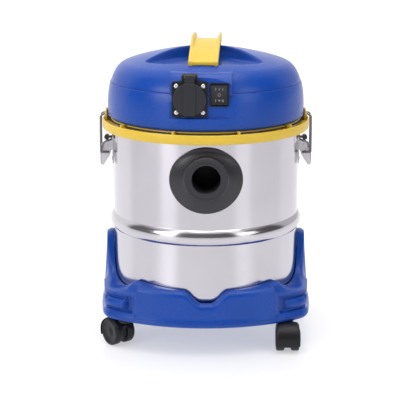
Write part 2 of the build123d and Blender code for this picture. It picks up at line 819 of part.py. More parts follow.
with BuildPart() as motor_housing:
    revolve(band_section(0), axis=Axis.Z)
    add(facet_cut.part, mode=Mode.SUBTRACT)
    add(tower_outer.part)
    add(housing_room.part, mode=Mode.SUBTRACT)
    # posts for the cover's screws
    with BuildSketch(Plane.XY.offset(floor_top - 1)):
        with PolarLocations(cover_screw_circle, 4, start_angle=45):
            Circle(6)
    extrude(amount=seam_height - floor_top + 1)
    with BuildSketch(Plane.XY.offset(ring_top - 1)):
        with PolarLocations(cover_screw_circle, 4, start_angle=45):
            Circle(cover_screw_radius)
        Circle(intake_radius)
    extrude(amount=seam_height, mode=Mode.SUBTRACT)
    with BuildSketch(Plane.XY.offset(ring_top - 1)):
        with PolarLocations(cover_screw_circle, 4, start_angle=45):
            Circle(4)
    extrude(amount=4.2, mode=Mode.SUBTRACT)
    # holes for the socket and the switch
    with BuildSketch(panel_plane(facet_distance - 2 * head_wall)):
        with Locations((socket_x, socket_z)):
            Circle(socket_body_radius)
            with GridLocations(socket_screw_pitch, socket_screw_pitch, 2, 2):
                Circle(socket_screw_radius)
        with Locations((switch_x, switch_z)):
            Rectangle(switch_width - 3, switch_height - 3)
    extrude(amount=20, mode=Mode.SUBTRACT)
    # window for the exhaust grille and hole for the mains gland
    with BuildSketch(Plane.XY.offset(grille_low)):
        add(grille_wedge())
        Circle(head_radius - 12, mode=Mode.SUBTRACT)
    extrude(amount=grille_high - grille_low, mode=Mode.SUBTRACT)
    with BuildSketch(gland_plane.offset(120)):
        with Locations((0, gland_height)):
            Circle(gland_radius)
    extrude(amount=40, mode=Mode.SUBTRACT)
save(motor_housing.part, "motor_housing")

# recess for the hand: wide at the front lip, narrower at the back wall
recess_plan = ((-88, -78), (88, -78), (68, 34), (-68, 34))


def recess_block(grow, floor):
    """Hand recess as a block that opens upwards, grown sideways by a wall."""
    with BuildPart() as block:
        for height, inset in ((floor, 9.0), (450.0, 0.0)):
            with BuildSketch(head_plane.offset(height)) as plan:
                with BuildLine():
                    Polyline(*recess_plan, close=True)
                make_face()
                if grow != inset:
                    offset(amount=grow - inset, kind=Kind.INTERSECTION)
                fillet(plan.vertices(), 14)
        loft()
    return block.part


cover_post_top = 413.0        # inside the cover's shoulder
handle_screws = [(side * 11.0, -forward) for side in (-1, 1) for forward in (92.0, -80.0)]

with BuildPart() as cover_room:
    revolve(dome_section(head_wall), axis=Axis.Z)
    add(recess_block(head_wall, recess_floor - head_wall), mode=Mode.SUBTRACT)

with BuildPart() as handle_posts:
    with BuildSketch(head_plane.offset(416)):
        with Locations(*handle_screws):
            Circle(6)
    extrude(amount=14)
    revolve(dome_section(1.0), axis=Axis.Z, mode=Mode.INTERSECT)

with BuildPart() as top_cover:
    revolve(dome_section(0), axis=Axis.Z)
    add(cover_room.part, mode=Mode.SUBTRACT)
    # posts inside for the handle's screws and the cover's own
    add(handle_posts.part)
    with BuildSketch(Plane.XY.offset(seam_height)):
        with PolarLocations(cover_screw_circle, 4, start_angle=45):
            Circle(6)
    extrude(amount=cover_post_top - seam_height)
    add(recess_block(0, recess_floor), mode=Mode.SUBTRACT)
    add(tower_slot.part, mode=Mode.SUBTRACT)
    with BuildSketch(head_plane.offset(410)):
        with Locations(*handle_screws):
            Circle(handle_screw_radius)
    extrude(amount=40, mode=Mode.SUBTRACT)
    with BuildSketch(Plane.XY.offset(seam_height - 1)):
        with PolarLocations(cover_screw_circle, 4, start_angle=45):
            Circle(cover_screw_radius)
    extrude(amount=12, mode=Mode.SUBTRACT)
save(top_cover.part, "top_cover")

# ================================================================ handle
crown = [(104, 431.2), (70, 441.6), (34, 448.4), (4, 451.2), (-26, 450.2), (-60, 443.8), (-92, 434.2)]
lip_crest = [(72, 439.6), (52, 446.4), (32, 452.4), (8, 458.0), (-26, 458.4), (-60, 452.0), (-91, 433.0)]
lip_root = [(x, z - handle_thickness / 2) for x, z in crown[2:-1]]
foot_depth = 6.0              # spare length of each foot, trimmed to the cover
with BuildPart() as handle:
    with BuildSketch(handle_plane.offset(-handle_width / 2)):
        belly = [(x, z - handle_thickness) for x, z in crown]
        front_foot = (belly[0][0], belly[0][1] - foot_depth)
        back_foot = (belly[-1][0], belly[-1][1] - foot_depth)
        with BuildLine():
            Spline(*crown)
            Polyline(crown[0], front_foot, belly[1])
            Spline(*belly[1:-1])
            Polyline(belly[-2], back_foot, crown[-1])
        make_face()
    extrude(amount=handle_width)
    # side lips that rise towards the back
    for lip_start in (-handle_width / 2, handle_width / 2 - lip_width):
        with BuildSketch(handle_plane.offset(lip_start)):
            with BuildLine():
                Spline(*lip_crest)
                Polyline(lip_crest[0], *lip_root, lip_crest[-1])
            make_face()
        extrude(amount=lip_width)
    revolve(dome_section(0), axis=Axis.Z, mode=Mode.SUBTRACT)
    with BuildSketch(head_plane.offset(410)):
        with Locations(*handle_screws):
            Circle(handle_screw_radius)
    extrude(amount=25.5, mode=Mode.SUBTRACT)
save(handle.part, "handle")

with BuildPart() as head_screws:
    with BuildSketch(head_plane.offset(413)):
        with Locations(*handle_screws):
            Circle(4)
    extrude(amount=3)
    with BuildSketch(head_plane.offset(414)):
        with Locations(*handle_screws):
            Circle(handle_screw_radius)
    extrude(amount=20.5)
    with BuildSketch(Plane.XY.offset(ring_top + 0.2)):
        with PolarLocations(cover_screw_circle, 4, start_angle=45):
            Circle(3.8)
    extrude(amount=3)
    with BuildSketch(Plane.XY.offset(ring_top + 1)):
        with PolarLocations(cover_screw_circle, 4, start_angle=45):
            Circle(cover_screw_radius)
    extrude(amount=seam_height + 10 - ring_top - 1)
save(head_screws.part, "head_screws")

# ================================================================ tool socket
plate_face = facet_distance + socket_plate_thickness
lid_back = plate_face + lid_gap
lid_face = lid_back + lid_thickness
hinge_z = socket_z + lid_hinge_rise
hinge_distance = lid_back + lid_thickness / 2
knuckle_inner = 7.5

with BuildPart() as socket_plate:
    with BuildSketch(panel_plane(facet_distance)):
        with Locations((socket_x, socket_z)):
            RectangleRounded(socket_plate_size, socket_plate_size, 3)
            Circle(socket_body_radius, mode=Mode.SUBTRACT)
            with GridLocations(socket_screw_pitch, socket_screw_pitch, 2, 2):
                Circle(socket_screw_radius, mode=Mode.SUBTRACT)
    extrude(amount=socket_plate_thickness)
    # tongue above the plate that carries the hinge's outer knuckles
    tongue_low = socket_z + socket_plate_size / 2 - 1
    with BuildSketch(panel_plane(facet_distance)):
        with Locations((socket_x, (tongue_low + hinge_z + 4) / 2)):
            Rectangle(2 * lid_tab_half, hinge_z + 4 - tongue_low)
    extrude(amount=hinge_distance - lid_knuckle_radius - 0.3 - facet_distance)
    for knuckle_start in (knuckle_inner, -lid_tab_half):
        with BuildSketch(across_panel(socket_x + knuckle_start)):
            with Locations((hinge_distance, hinge_z)):
                Circle(lid_knuckle_radius)
            with Locations((facet_distance + 2, hinge_z)):
                Rectangle(2 * (hinge_distance - facet_distance - 2), 2 * lid_knuckle_radius)
        extrude(amount=-(lid_tab_half - knuckle_inner))
    with BuildSketch(panel_plane(facet_distance - 10)):
        with Locations((socket_x, hinge_z)):
            Rectangle(2 * lid_tab_half, 4 * lid_knuckle_radius)
    extrude(amount=10, mode=Mode.SUBTRACT)
    with BuildSketch(across_panel(socket_x - lid_tab_half - 1)):
        with Locations((hinge_distance, hinge_z)):
            Circle(lid_pin_radius)
    extrude(amount=-(2 * lid_tab_half + 2), mode=Mode.SUBTRACT)
save(socket_plate.part, "socket_plate")

with BuildPart() as socket_insert:
    with BuildSketch(panel_plane(facet_distance - socket_body_depth)):
        with Locations((socket_x, socket_z)):
            Circle(socket_body_radius)
    extrude(amount=socket_body_depth + socket_plate_thickness)
    with BuildSketch(panel_plane(plate_face - socket_well_depth)):
        with Locations((socket_x, socket_z)):
            Circle(socket_well_radius)
    extrude(amount=socket_well_depth, mode=Mode.SUBTRACT)
    with BuildSketch(panel_plane(plate_face - socket_well_depth - 10)):
        with Locations((socket_x, socket_z)):
            with GridLocations(19, 0, 2, 1):
                Circle(2.6)
    extrude(amount=12, mode=Mode.SUBTRACT)
    # earthing springs at the top and bottom of the well
    with BuildSketch(panel_plane(plate_face - socket_well_depth)):
        with Locations((socket_x, socket_z)):
            with GridLocations(0, 2 * socket_well_radius - 2.4, 1, 2):
                Rectangle(6, 2.4)
    extrude(amount=socket_well_depth - 2)
save(socket_insert.part, "socket_insert")

with BuildPart() as lid_pin:
    with BuildSketch(across_panel(socket_x - lid_tab_half)):
        with Locations((hinge_distance, hinge_z)):
            Circle(lid_pin_radius)
    extrude(amount=-2 * lid_tab_half)
save(lid_pin.part, "lid_pin")

with BuildPart() as socket_screws:
    with BuildSketch(panel_plane(facet_distance - 8)):
        with Locations((socket_x, socket_z)):
            with GridLocations(socket_screw_pitch, socket_screw_pitch, 2, 2):
                Circle(socket_screw_radius)
    extrude(amount=8 + socket_plate_thickness + 0.5)
    with BuildSketch(panel_plane(plate_face)):
        with Locations((socket_x, socket_z)):
            with GridLocations(socket_screw_pitch, socket_screw_pitch, 2, 2):
                Circle(3.2)
    extrude(amount=1.5, taper=20)
save(socket_screws.part, "socket_screws")

with BuildPart() as socket_lid:
    with BuildSketch(panel_plane(lid_back)):
        with Locations((socket_x, socket_z)):
            Circle(lid_radius)
    extrude(amount=lid_thickness)
    rim_edges = socket_lid.edges().filter_by(lambda e: e.center().dot(panel_out) > lid_face - 0.1)
    fillet(rim_edges, 1.2)
    with BuildSketch(panel_plane(lid_back)):
        with Locations((socket_x, socket_z)):
            Rectangle(lid_bar_width, 2 * lid_radius - 1.5)
    extrude(amount=lid_thickness + 2.2)
    with BuildSketch(panel_plane(lid_back)):
        with Locations((socket_x, (socket_z + hinge_z) / 2 + 6)):
            Rectangle(2 * knuckle_inner - 0.6, hinge_z - socket_z - 12)
    extrude(amount=lid_thickness)
    with BuildSketch(across_panel(socket_x - knuckle_inner + 0.3)):
        with Locations((hinge_distance, hinge_z)):
            Circle(lid_knuckle_radius)
    extrude(amount=-(2 * knuckle_inner - 0.6))
    with BuildSketch(across_panel(socket_x - knuckle_inner - 1)):
        with Locations((hinge_distance, hinge_z)):
            Circle(lid_pin_radius + running_gap)
    extrude(amount=-(2 * knuckle_inner + 2), mode=Mode.SUBTRACT)
save(socket_lid.part, "socket_lid")

# ================================================================ switch
rocker_pivot = facet_distance - 1.5
rocker_side_gap = 0.4
with BuildPart() as switch_frame:
    with BuildSketch(panel_plane(facet_distance)):
        with Locations((switch_x, switch_z)):
            RectangleRounded(switch_width, switch_height, 1.5)
    extrude(amount=switch_bezel)
    with BuildSketch(panel_plane(facet_distance - switch_depth)):
        with Locations((switch_x, switch_z)):
            Rectangle(switch_width - 3, switch_height - 3)
    extrude(amount=switch_depth)
    with BuildSketch(panel_plane(facet_distance - switch_depth + 2.5)):
        with Locations((switch_x, switch_z)):
            Rectangle(rocker_width + 2 * rocker_side_gap, rocker_height + 2.8)
    extrude(amount=switch_depth, mode=Mode.SUBTRACT)
    # stub pivots for the rocker on both side walls
    stub = rocker_side_gap + 0.3
    for stub_start in (switch_x - rocker_width / 2 - stub, switch_x + rocker_width / 2 + 0.1):
        with BuildSketch(across_panel(stub_start)):
            with Locations((rocker_pivot, switch_z)):
                Circle(1.5)
        extrude(amount=0.1 - stub)
save(switch_frame.part, "switch_frame")

with BuildPart() as switch_rocker:
    with BuildSketch(across_panel(switch_x - rocker_width / 2)):
        with BuildLine():
            half = rocker_height / 2
            crest = facet_distance + switch_bezel + 1.0
            back = rocker_pivot - 3
            Polyline((back, switch_z - half + 3), (crest, switch_z - half))
            ThreePointArc((crest, switch_z - half), (crest - 1.6, switch_z), (crest, switch_z + half))
            Polyline((crest, switch_z + half), (back, switch_z + half - 3), (back, switch_z - half + 3))
        make_face()
    extrude(amount=-rocker_width)
save(switch_rocker.part, "switch_rocker")

# ================================================================ mains gland and exhaust grille
with BuildPart() as cord_gland:
    with BuildSketch(gland_plane.offset(head_radius - 12)):
        with Locations((0, gland_height)):
            Circle(gland_radius)
    extrude(amount=14)
    with BuildSketch(gland_plane.offset(head_radius)):
        with Locations((0, gland_height)):
            RegularPolygon(gland_radius + 2.5, 6)
    extrude(amount=5)
    front_edges = cord_gland.edges().filter_by(lambda e: e.center().dot(gland_out) > head_radius + 4.9)
    fillet(front_edges, 1)
    with BuildSketch(gland_plane.offset(head_radius - 14)):
        with Locations((0, gland_height)):
            Circle(4.5)
    extrude(amount=30, mode=Mode.SUBTRACT)
save(cord_gland.part, "cord_gland")

with BuildPart() as exhaust_grille:
    with BuildSketch(Plane.XY.offset(grille_low)):
        Circle(head_radius + 0.4)
        Circle(head_radius - 6, mode=Mode.SUBTRACT)
        add(grille_wedge(), mode=Mode.INTERSECT)
    extrude(amount=grille_high - grille_low)
    with BuildSketch(Plane.XZ.offset(-head_radius - 10)):
        with Locations(*[(0, grille_low + 6 + row * 6) for row in range(5)]):
            SlotOverall(80, 3)
    extrude(amount=40, mode=Mode.SUBTRACT)
save(exhaust_grille.part, "exhaust_grille")

# ================================================================ motor
fan_low = floor_top + motor_gasket_thickness
fan_top = fan_low + fan_case_height
impeller_low = fan_low + 5.5
impeller_height = 17.0
blade_count = 9

with BuildPart() as motor_gasket:
    with BuildSketch(Plane.XY.offset(floor_top)):
        Circle(fan_case_radius)
        Circle(fan_case_radius - 8, mode=Mode.SUBTRACT)
    extrude(amount=motor_gasket_thickness)
save(motor_gasket.part, "motor_gasket")

with BuildPart() as fan_housing:
    with BuildSketch(Plane.XY.offset(fan_low)):
        Circle(fan_case_radius)
    extrude(amount=fan_case_height)
    fillet(fan_housing.faces().sort_by(Axis.Z)[-1].edges(), 3)
    with BuildSketch(Plane.XY.offset(fan_low + 2)):
        Circle(fan_case_radius - 2)
    extrude(amount=fan_case_height - 4, mode=Mode.SUBTRACT)
    with BuildSketch(Plane.XY.offset(fan_low - 1)):
        Circle(intake_radius)
    extrude(amount=10, mode=Mode.SUBTRACT)
    # seat of the lower bearing
    with BuildSketch(Plane.XY.offset(fan_top - 2)):
        Circle(bearing_radius + 3)
    extrude(amount=bearing_height + 2)
    with BuildSketch(Plane.XY.offset(fan_top)):
        Circle(bearing_radius)
    extrude(amount=bearing_height + 1, mode=Mode.SUBTRACT)
    with BuildSketch(Plane.XY.offset(fan_top - 3)):
        Circle(bearing_radius - 3)
    extrude(amount=4, mode=Mode.SUBTRACT)
    # outlets round the side
    with BuildSketch(Plane.XY.offset(fan_low + 10)):
        with PolarLocations(fan_case_radius, 6):
            Rectangle(12, 26)
    extrude(amount=11, mode=Mode.SUBTRACT)
save(fan_housing.part, "fan_housing")

with BuildPart() as bearings:
    for height in (fan_top, upper_bearing):
        with BuildSketch(Plane.XY.offset(height)):
            Circle(bearing_radius)
            Circle(shaft_radius + running_gap, mode=Mode.SUBTRACT)
        extrude(amount=bearing_height)
        with BuildSketch(Plane.XY.offset(height + bearing_height - 0.8)):
            Circle(bearing_radius - 2)
            Circle(shaft_radius + 2, mode=Mode.SUBTRACT)
        extrude(amount=1, mode=Mode.SUBTRACT)
save(bearings.part, "bearings")

post_circle = 34.0
with BuildPart() as stator:
    with BuildSketch(Plane.XY.offset(armature_low)):
        Circle(stator_radius)
        Circle(armature_radius + 1, mode=Mode.SUBTRACT)
    extrude(amount=armature_high - armature_low)
    # posts on the fan housing, and the bridge that holds the upper bearing
    with BuildSketch(Plane.XY.offset(fan_top)):
        with PolarLocations(post_circle, 4, start_angle=45):
            Circle(4)
    extrude(amount=upper_bearing + bearing_height - fan_top)
    with BuildSketch(Plane.XY.offset(upper_bearing)):
        Circle(bearing_radius + 3)
        with PolarLocations(post_circle / 2, 4, start_angle=45):
            Rectangle(post_circle, 8)
        Circle(bearing_radius, mode=Mode.SUBTRACT)
    extrude(amount=bearing_height)
save(stator.part, "stator")

fan_disc = upper_bearing + bearing_height + 1.2
with BuildPart() as motor_shaft:
    with BuildSketch(Plane.XY.offset(impeller_low - 4)):
        Circle(shaft_radius)
    extrude(amount=fan_disc + 3.4 - impeller_low + 4)
save(motor_shaft.part, "motor_shaft")

with BuildPart() as armature:
    with BuildSketch(Plane.XY.offset(armature_low)):
        Circle(armature_radius)
    extrude(amount=armature_high - armature_low)
    with BuildSketch(Plane.XY.offset(armature_high)):
        Circle(9)
    extrude(amount=3)
    with BuildSketch(Plane.XY.offset(armature_low)):
        with PolarLocations(armature_radius, 12):
            Rectangle(6, 1.6)
    extrude(amount=armature_high - armature_low, mode=Mode.SUBTRACT)
    with BuildSketch(Plane.XY.offset(armature_low)):
        Circle(shaft_radius)
    extrude(amount=40, mode=Mode.SUBTRACT)
save(armature.part, "armature")

with BuildPart() as impeller:
    with BuildSketch(Plane.XY.offset(impeller_low)):
        Circle(58)
        Circle(intake_radius + 1, mode=Mode.SUBTRACT)
    extrude(amount=1.4)
    with BuildSketch(Plane.XY.offset(impeller_low + impeller_height - 1.4)):
        Circle(58)
    extrude(amount=1.4)
    with BuildSketch(Plane.XY.offset(impeller_low)):
        Circle(9)
    extrude(amount=impeller_height)
    with BuildSketch(Plane.XY.offset(impeller_low + 0.7)):
        with PolarLocations(40, blade_count):
            Rectangle(34, 1.2, rotation=28)
    extrude(amount=impeller_height - 1.4)
    with BuildSketch(Plane.XY.offset(impeller_low - 1)):
        Circle(shaft_radius)
    extrude(amount=40, mode=Mode.SUBTRACT)
save(impeller.part, "impeller")

with BuildPart() as cooling_fan:
    with BuildSketch(Plane.XY.offset(fan_disc)):
        Circle(30)
        Circle(28, mode=Mode.SUBTRACT)
        with PolarLocations(18, 8):
            Rectangle(24, 5)
        Circle(7)
        Circle(shaft_radius, mode=Mode.SUBTRACT)
    extrude(amount=3.2)
save(cooling_fan.part, "cooling_fan")

# ================================================================ control module
with BuildPart() as control_module:
    with BuildSketch(head_plane.offset(floor_top)):
        with Locations((8, -88)):
            Rectangle(52, 20)
    extrude(amount=30)
    fillet(control_module.edges().filter_by(Axis.Z), 2)
    with BuildSketch(head_plane.offset(floor_top + 30)):
        with Locations((8, -88)):
            with GridLocations(8, 0, 5, 1):
                Rectangle(5, 6)
    extrude(amount=5)
save(control_module.part, "control_module")

# ================================================================ filter cage, float and filter
cage_top = ring_top
stud_radius = 5.0
with BuildPart() as filter_cage:
    with BuildSketch(Plane.XY.offset(cage_top - 3)):
        Circle(cage_flange_radius)
        Circle(intake_radius, mode=Mode.SUBTRACT)
    extrude(amount=3)
    with BuildSketch(Plane.XY.offset(cage_bottom)):
        Circle(cage_radius)
        Circle(cage_radius - 3, mode=Mode.SUBTRACT)
    extrude(amount=cage_top - 3 - cage_bottom)
    with BuildSketch(Plane.XY.offset(cage_bottom - 3)):
        Circle(cage_radius)
    extrude(amount=3)
    with BuildSketch(Plane.XY.offset(filter_bottom - 14)):
        Circle(stud_radius)
    extrude(amount=cage_bottom - filter_bottom + 14 - 1)
    # windows between the ribs
    for row in range(3):
        with BuildSketch(Plane.XY.offset(cage_bottom + 8 + row * 32)):
            with PolarLocations(cage_radius, 8):
                Rectangle(16, 24)
        extrude(amount=24, mode=Mode.SUBTRACT)
save(filter_cage.part, "filter_cage")

with BuildPart() as float_cup:
    with BuildSketch(Plane.XY.offset(cage_bottom + 0.3)):
        Circle(float_radius)
    extrude(amount=float_height)
    fillet(float_cup.edges(), 3)
save(float_cup.part, "float")

pleat_count = 2 * filter_pleats
pleat_points = [
    Vector(filter_outer - 2 - (index % 2) * 13, 0).rotate(Axis.Z, index * 360 / pleat_count)
    for index in range(pleat_count)
]
with BuildPart() as filter_cartridge:
    with BuildSketch(Plane.XY.offset(filter_bottom)):
        with BuildLine():
            Polyline(*pleat_points, close=True)
        make_face()
        Circle(filter_inner + 4, mode=Mode.SUBTRACT)
    extrude(amount=cage_top - 3 - filter_bottom)
    for height in (filter_bottom, cage_top - 3 - 8):
        with BuildSketch(Plane.XY.offset(height)):
            Circle(filter_outer)
            Circle(filter_inner, mode=Mode.SUBTRACT)
        extrude(amount=8)
save(filter_cartridge.part, "filter_cartridge")

with BuildPart() as filter_clamp:
    with BuildSketch(Plane.XY.offset(filter_bottom - 4)):
        Circle(filter_outer)
    extrude(amount=4)
    with BuildSketch(Plane.XY.offset(filter_bottom - 14)):
        Circle(13)
        with PolarLocations(13, 6):
            Circle(3.5)
    extrude(amount=10)
    with BuildSketch(Plane.XY.offset(filter_bottom - 15)):
        Circle(stud_radius)
    extrude(amount=20, mode=Mode.SUBTRACT)
save(filter_clamp.part, "filter_clamp")
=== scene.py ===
import json
import math

import bmesh
import bpy
from bpy.props import FloatProperty, FloatVectorProperty, IntProperty, PointerProperty
from mathutils import Matrix, Vector


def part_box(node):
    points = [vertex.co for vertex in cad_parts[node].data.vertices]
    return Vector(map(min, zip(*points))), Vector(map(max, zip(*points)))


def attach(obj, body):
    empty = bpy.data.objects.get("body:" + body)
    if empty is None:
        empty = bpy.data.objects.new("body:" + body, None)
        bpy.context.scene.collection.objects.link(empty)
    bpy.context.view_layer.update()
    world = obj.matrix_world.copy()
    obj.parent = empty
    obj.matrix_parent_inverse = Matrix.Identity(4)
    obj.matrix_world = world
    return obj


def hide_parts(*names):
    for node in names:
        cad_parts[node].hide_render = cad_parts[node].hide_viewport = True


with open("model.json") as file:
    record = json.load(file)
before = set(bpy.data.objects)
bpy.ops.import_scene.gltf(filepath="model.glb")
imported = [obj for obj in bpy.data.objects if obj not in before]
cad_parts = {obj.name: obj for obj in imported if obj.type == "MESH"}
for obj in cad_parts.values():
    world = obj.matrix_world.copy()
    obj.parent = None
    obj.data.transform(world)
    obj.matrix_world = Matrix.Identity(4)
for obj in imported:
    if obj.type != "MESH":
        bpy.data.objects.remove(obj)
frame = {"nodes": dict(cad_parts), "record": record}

bl_info = {
    "name": "Shop Vacuum Finish",
    "version": (1, 0, 0),
    "blender": (4, 5, 0),
    "location": "View3D > Sidebar > Vacuum",
    "description": "Builds the outer pieces and the finishes of a drum vacuum on its packed frame",
    "category": "Object",
}

MM = 0.001
NODES = frame["nodes"]
HEAD_TURN = math.radians(3.0)
PANEL_OUT = Vector((-math.sin(HEAD_TURN), -math.cos(HEAD_TURN), 0))
PANEL_RIGHT = Vector((math.cos(HEAD_TURN), -math.sin(HEAD_TURN), 0))
UP = Vector((0, 0, 1))
PANEL_DISTANCE = 141.5          # from the axis to the control panel
PANEL_HALF = 44.5
SOCKET_AT = (-16, 383)          # on the panel: across, and above the floor
SWITCH_AT = (26, 389.5)
INLET_HEIGHT = 269.3
CASTER_X, CASTER_Y = 122, 104
CASTER_TURNS = {"front_left": 128, "front_right": -90, "rear_left": 115, "rear_right": 62}
DECK_TOP, DECK_BOTTOM, RIBS_BOTTOM = 61.9, 58.0, 49.0


# ---------------------------------------------------------------- sizes and colours a user may change
def length(name, text, value):
    return FloatProperty(name=name, description=text, default=value, unit="LENGTH", precision=4)


def colour(name, text, value):
    return FloatVectorProperty(
        name=name, description=text, default=value, subtype="COLOR", size=3, min=0, max=1
    )


class VacuumSizes(bpy.types.PropertyGroup):
    tray_lip: length("Tray lip", "Height of the rolled lip round the tray's lower edge", 8.0 * MM)
    tray_bottom: length("Tray bottom", "Height of the tray's lower edge above the floor", 43.3 * MM)
    tray_edge: length("Tray edge", "Height of the rounding along the tray's front rim", 10.0 * MM)
    notch_floor: length("Notch floor", "Height of the bottom of the tray's notch", 80.5 * MM)
    peg_radius: length("Peg", "Radius of the peg in each corner pocket", 8.0 * MM)
    peg_height: length("Peg height", "Height of the pegs above the floor", 70.0 * MM)
    recess_floor: length("Recess floor", "Height of the bottom of the hand recess", 421.0 * MM)
    recess_round: length("Recess rounding", "Softness of the edges of the hand recess", 4.0 * MM)
    ring_rib: length("Ring rib", "Width of the ribs across the ring's groove", 3.0 * MM)
    wire: length("Bail wire", "Diameter of the latch wires", 2.5 * MM)
    wheel_width: length("Wheel width", "Width of one caster wheel", 12.6 * MM)
    handle_round: length("Handle rounding", "Rounding of the handle's edges", 1.1 * MM)
    screw_head: length("Screw head", "Radius of a pan head on the socket plate", 3.4 * MM)
    deck_ribs: IntProperty(name="Deck ribs", description="Ribs under the tray's deck", default=8, min=4)


class VacuumColours(bpy.types.PropertyGroup):
    shell: colour("Shell", "Blue of the head and the tray", (0.005, 0.064, 0.385))
    trim: colour("Trim", "Yellow of the ring and the handle", (0.79, 0.54, 0.042))
    drum: colour("Drum", "Tint of the polished drum", (0.595, 0.572, 0.615))
    steel: colour("Latch steel", "Tint of the latches and screws", (0.54, 0.52, 0.55))
    dark: colour("Socket", "Charcoal of the socket and the switch", (0.013, 0.014, 0.020))
    rubber: colour("Inlet", "Black of the hose inlet", (0.020, 0.019, 0.025))
    wheel: colour("Casters", "Dark grey of the casters", (0.006, 0.006, 0.009))
    mark: colour("Marks", "Light grey of the marks on the switch", (0.36, 0.36, 0.38))
    floor: colour("Floor", "Pale floor of the studio", (0.95, 0.95, 0.96))


# ---------------------------------------------------------------- shapes
def soft_min(a, b, blend):
    """Smaller of two values, with a rounded change-over."""
    overlap = max(blend - abs(a - b), 0.0) / blend
    return min(a, b) - overlap * overlap * blend / 4


def soft_max(a, b, blend):
    return -soft_min(-a, -b, blend)


def ease(low, high, value):
    """0 below low, 1 above high, smooth between."""
    t = min(max((value - low) / (high - low), 0.0), 1.0)
    return t * t * (3 - 2 * t)


def bump(value, low, high, soft):
    """1 between two limits, falling softly to 0 outside them."""
    return ease(low - soft, low + soft, value) * (1 - ease(high - soft, high + soft, value))


def mix(a, b, share):
    return a + (b - a) * share


def through(points):
    """Smooth curve through (x, y) pairs without overshoot, as a function of x."""
    xs, ys = zip(*points)
    steps = [(ys[i + 1] - ys[i]) / (xs[i + 1] - xs[i]) for i in range(len(xs) - 1)]
    slopes = [steps[0]]
    for left, right in zip(steps, steps[1:]):
        slopes.append(0.0 if left * right <= 0 else 2 * left * right / (left + right))
    slopes.append(steps[-1])

    def curve(x):
        if x <= xs[0]:
            return ys[0]
        if x >= xs[-1]:
            return ys[-1]
        i = next(k for k in range(len(xs) - 1) if x <= xs[k + 1])
        span = xs[i + 1] - xs[i]
        t = (x - xs[i]) / span
        return (
            ys[i] * (1 + 2 * t) * (1 - t) ** 2 + ys[i + 1] * t * t * (3 - 2 * t)
            + span * slopes[i] * t * (1 - t) ** 2 + span * slopes[i + 1] * t * t * (t - 1)
        )

    return curve


def resample(path, count):
    """Points evenly spaced along a path of (r, z) points, ends kept."""
    lengths = [0.0]
    for a, b in zip(path, path[1:]):
        lengths.append(lengths[-1] + math.dist(a, b))
    found, k = [], 0
    for step in range(count):
        goal = lengths[-1] * step / (count - 1)
        while k < len(path) - 2 and lengths[k + 1] < goal:
            k += 1
        run = lengths[k + 1] - lengths[k]
        t = (goal - lengths[k]) / run if run > 1e-9 else 0.0
        found.append(tuple(mix(a, b, min(t, 1.0)) for a, b in zip(path[k], path[k + 1])))
    return found


def skin(name, rings, loop=False):
    """Closed mesh through rings of points; a ring of one point is a pole. Sizes in millimetres."""
    points, faces, starts = [], [], []
    for ring in rings:
        starts.append(len(points))
        points.extend(Vector(p) * MM for p in ring)
    pairs = list(zip(starts, rings))
    following = pairs[1:] + (pairs[:1] if loop else [])
    for (a, ring_a), (b, ring_b) in zip(pairs, following):
        count = max(len(ring_a), len(ring_b))
        for i in range(count):
            j = (i + 1) % count
            if len(ring_a) == 1:
                faces.append((a, b + i, b + j))
            elif len(ring_b) == 1:
                faces.append((a + j, a + i, b))
            else:
                faces.append((a + j, a + i, b + i, b + j))
    mesh = bpy.data.meshes.new(name)
    mesh.from_pydata(points, [], faces)
    return add_object(name, mesh)


def add_object(name, data):
    piece = bpy.data.objects.new(name, data)
    bpy.context.scene.collection.objects.link(piece)
    return piece


def circle(radius, height, steps):
    turns = [math.tau * i / steps for i in range(steps)]
    return [(radius * math.cos(t), radius * math.sin(t), height) for t in turns]


def lathe(name, profile, steps=180, loop=False):
    """Solid of revolution about the vertical axis through (radius, height) points."""
    return skin(name, [[(0, 0, z)] if r < 1e-6 else circle(r, z, steps) for r, z in profile], loop)


def capped(name, rings):
    """Closed solid through equal rings, with flat ends."""
    piece = skin(name, rings)
    shape = bmesh.new()
    shape.from_mesh(piece.data)
    shape.verts.ensure_lookup_table()
    count = len(rings[0])
    shape.faces.new(shape.verts[:count])
    shape.faces.new(reversed(shape.verts[-count:]))
    bmesh.ops.recalc_face_normals(shape, faces=shape.faces)
    shape.to_mesh(piece.data)
    shape.free()
    return piece


def prism(name, outline, start, end):
    """Solid with a flat outline in the local XY plane, between two heights. Millimetres."""
    shape = bmesh.new()
    low = [shape.verts.new(Vector((x, y, start)) * MM) for x, y in outline]
    face = shape.faces.new(low)
    moved = bmesh.ops.extrude_face_region(shape, geom=[face])
    top = [v for v in moved["geom"] if isinstance(v, bmesh.types.BMVert)]
    bmesh.ops.translate(shape, verts=top, vec=(0, 0, (end - start) * MM))
    bmesh.ops.recalc_face_normals(shape, faces=shape.faces)
    mesh = bpy.data.meshes.new(name)
    shape.to_mesh(mesh)
    shape.free()
    return add_object(name, mesh)


def rounded_box(half_x, half_y, radius, steps=6):
    """Outline of a rectangle with rounded corners."""
    outline = []
    for corner, (sx, sy) in enumerate(((1, 1), (-1, 1), (-1, -1), (1, -1))):
        for i in range(steps + 1):
            turn = math.radians(90 * (corner + i / steps))
            outline.append(
                (sx * (half_x - radius) + radius * math.cos(turn),
                 sy * (half_y - radius) + radius * math.sin(turn))
            )
    return outline


def settle(piece):
    """Apply every modifier and the object's place, so that its mesh is final and at the origin."""
    bpy.context.view_layer.update()
    graph = bpy.context.evaluated_depsgraph_get()
    final = bpy.data.meshes.new_from_object(piece.evaluated_get(graph))
    final.transform(piece.matrix_world)
    piece.modifiers.clear()
    piece.data = final
    piece.matrix_world = Matrix.Identity(4)
    piece.data.name = piece.name
    return piece


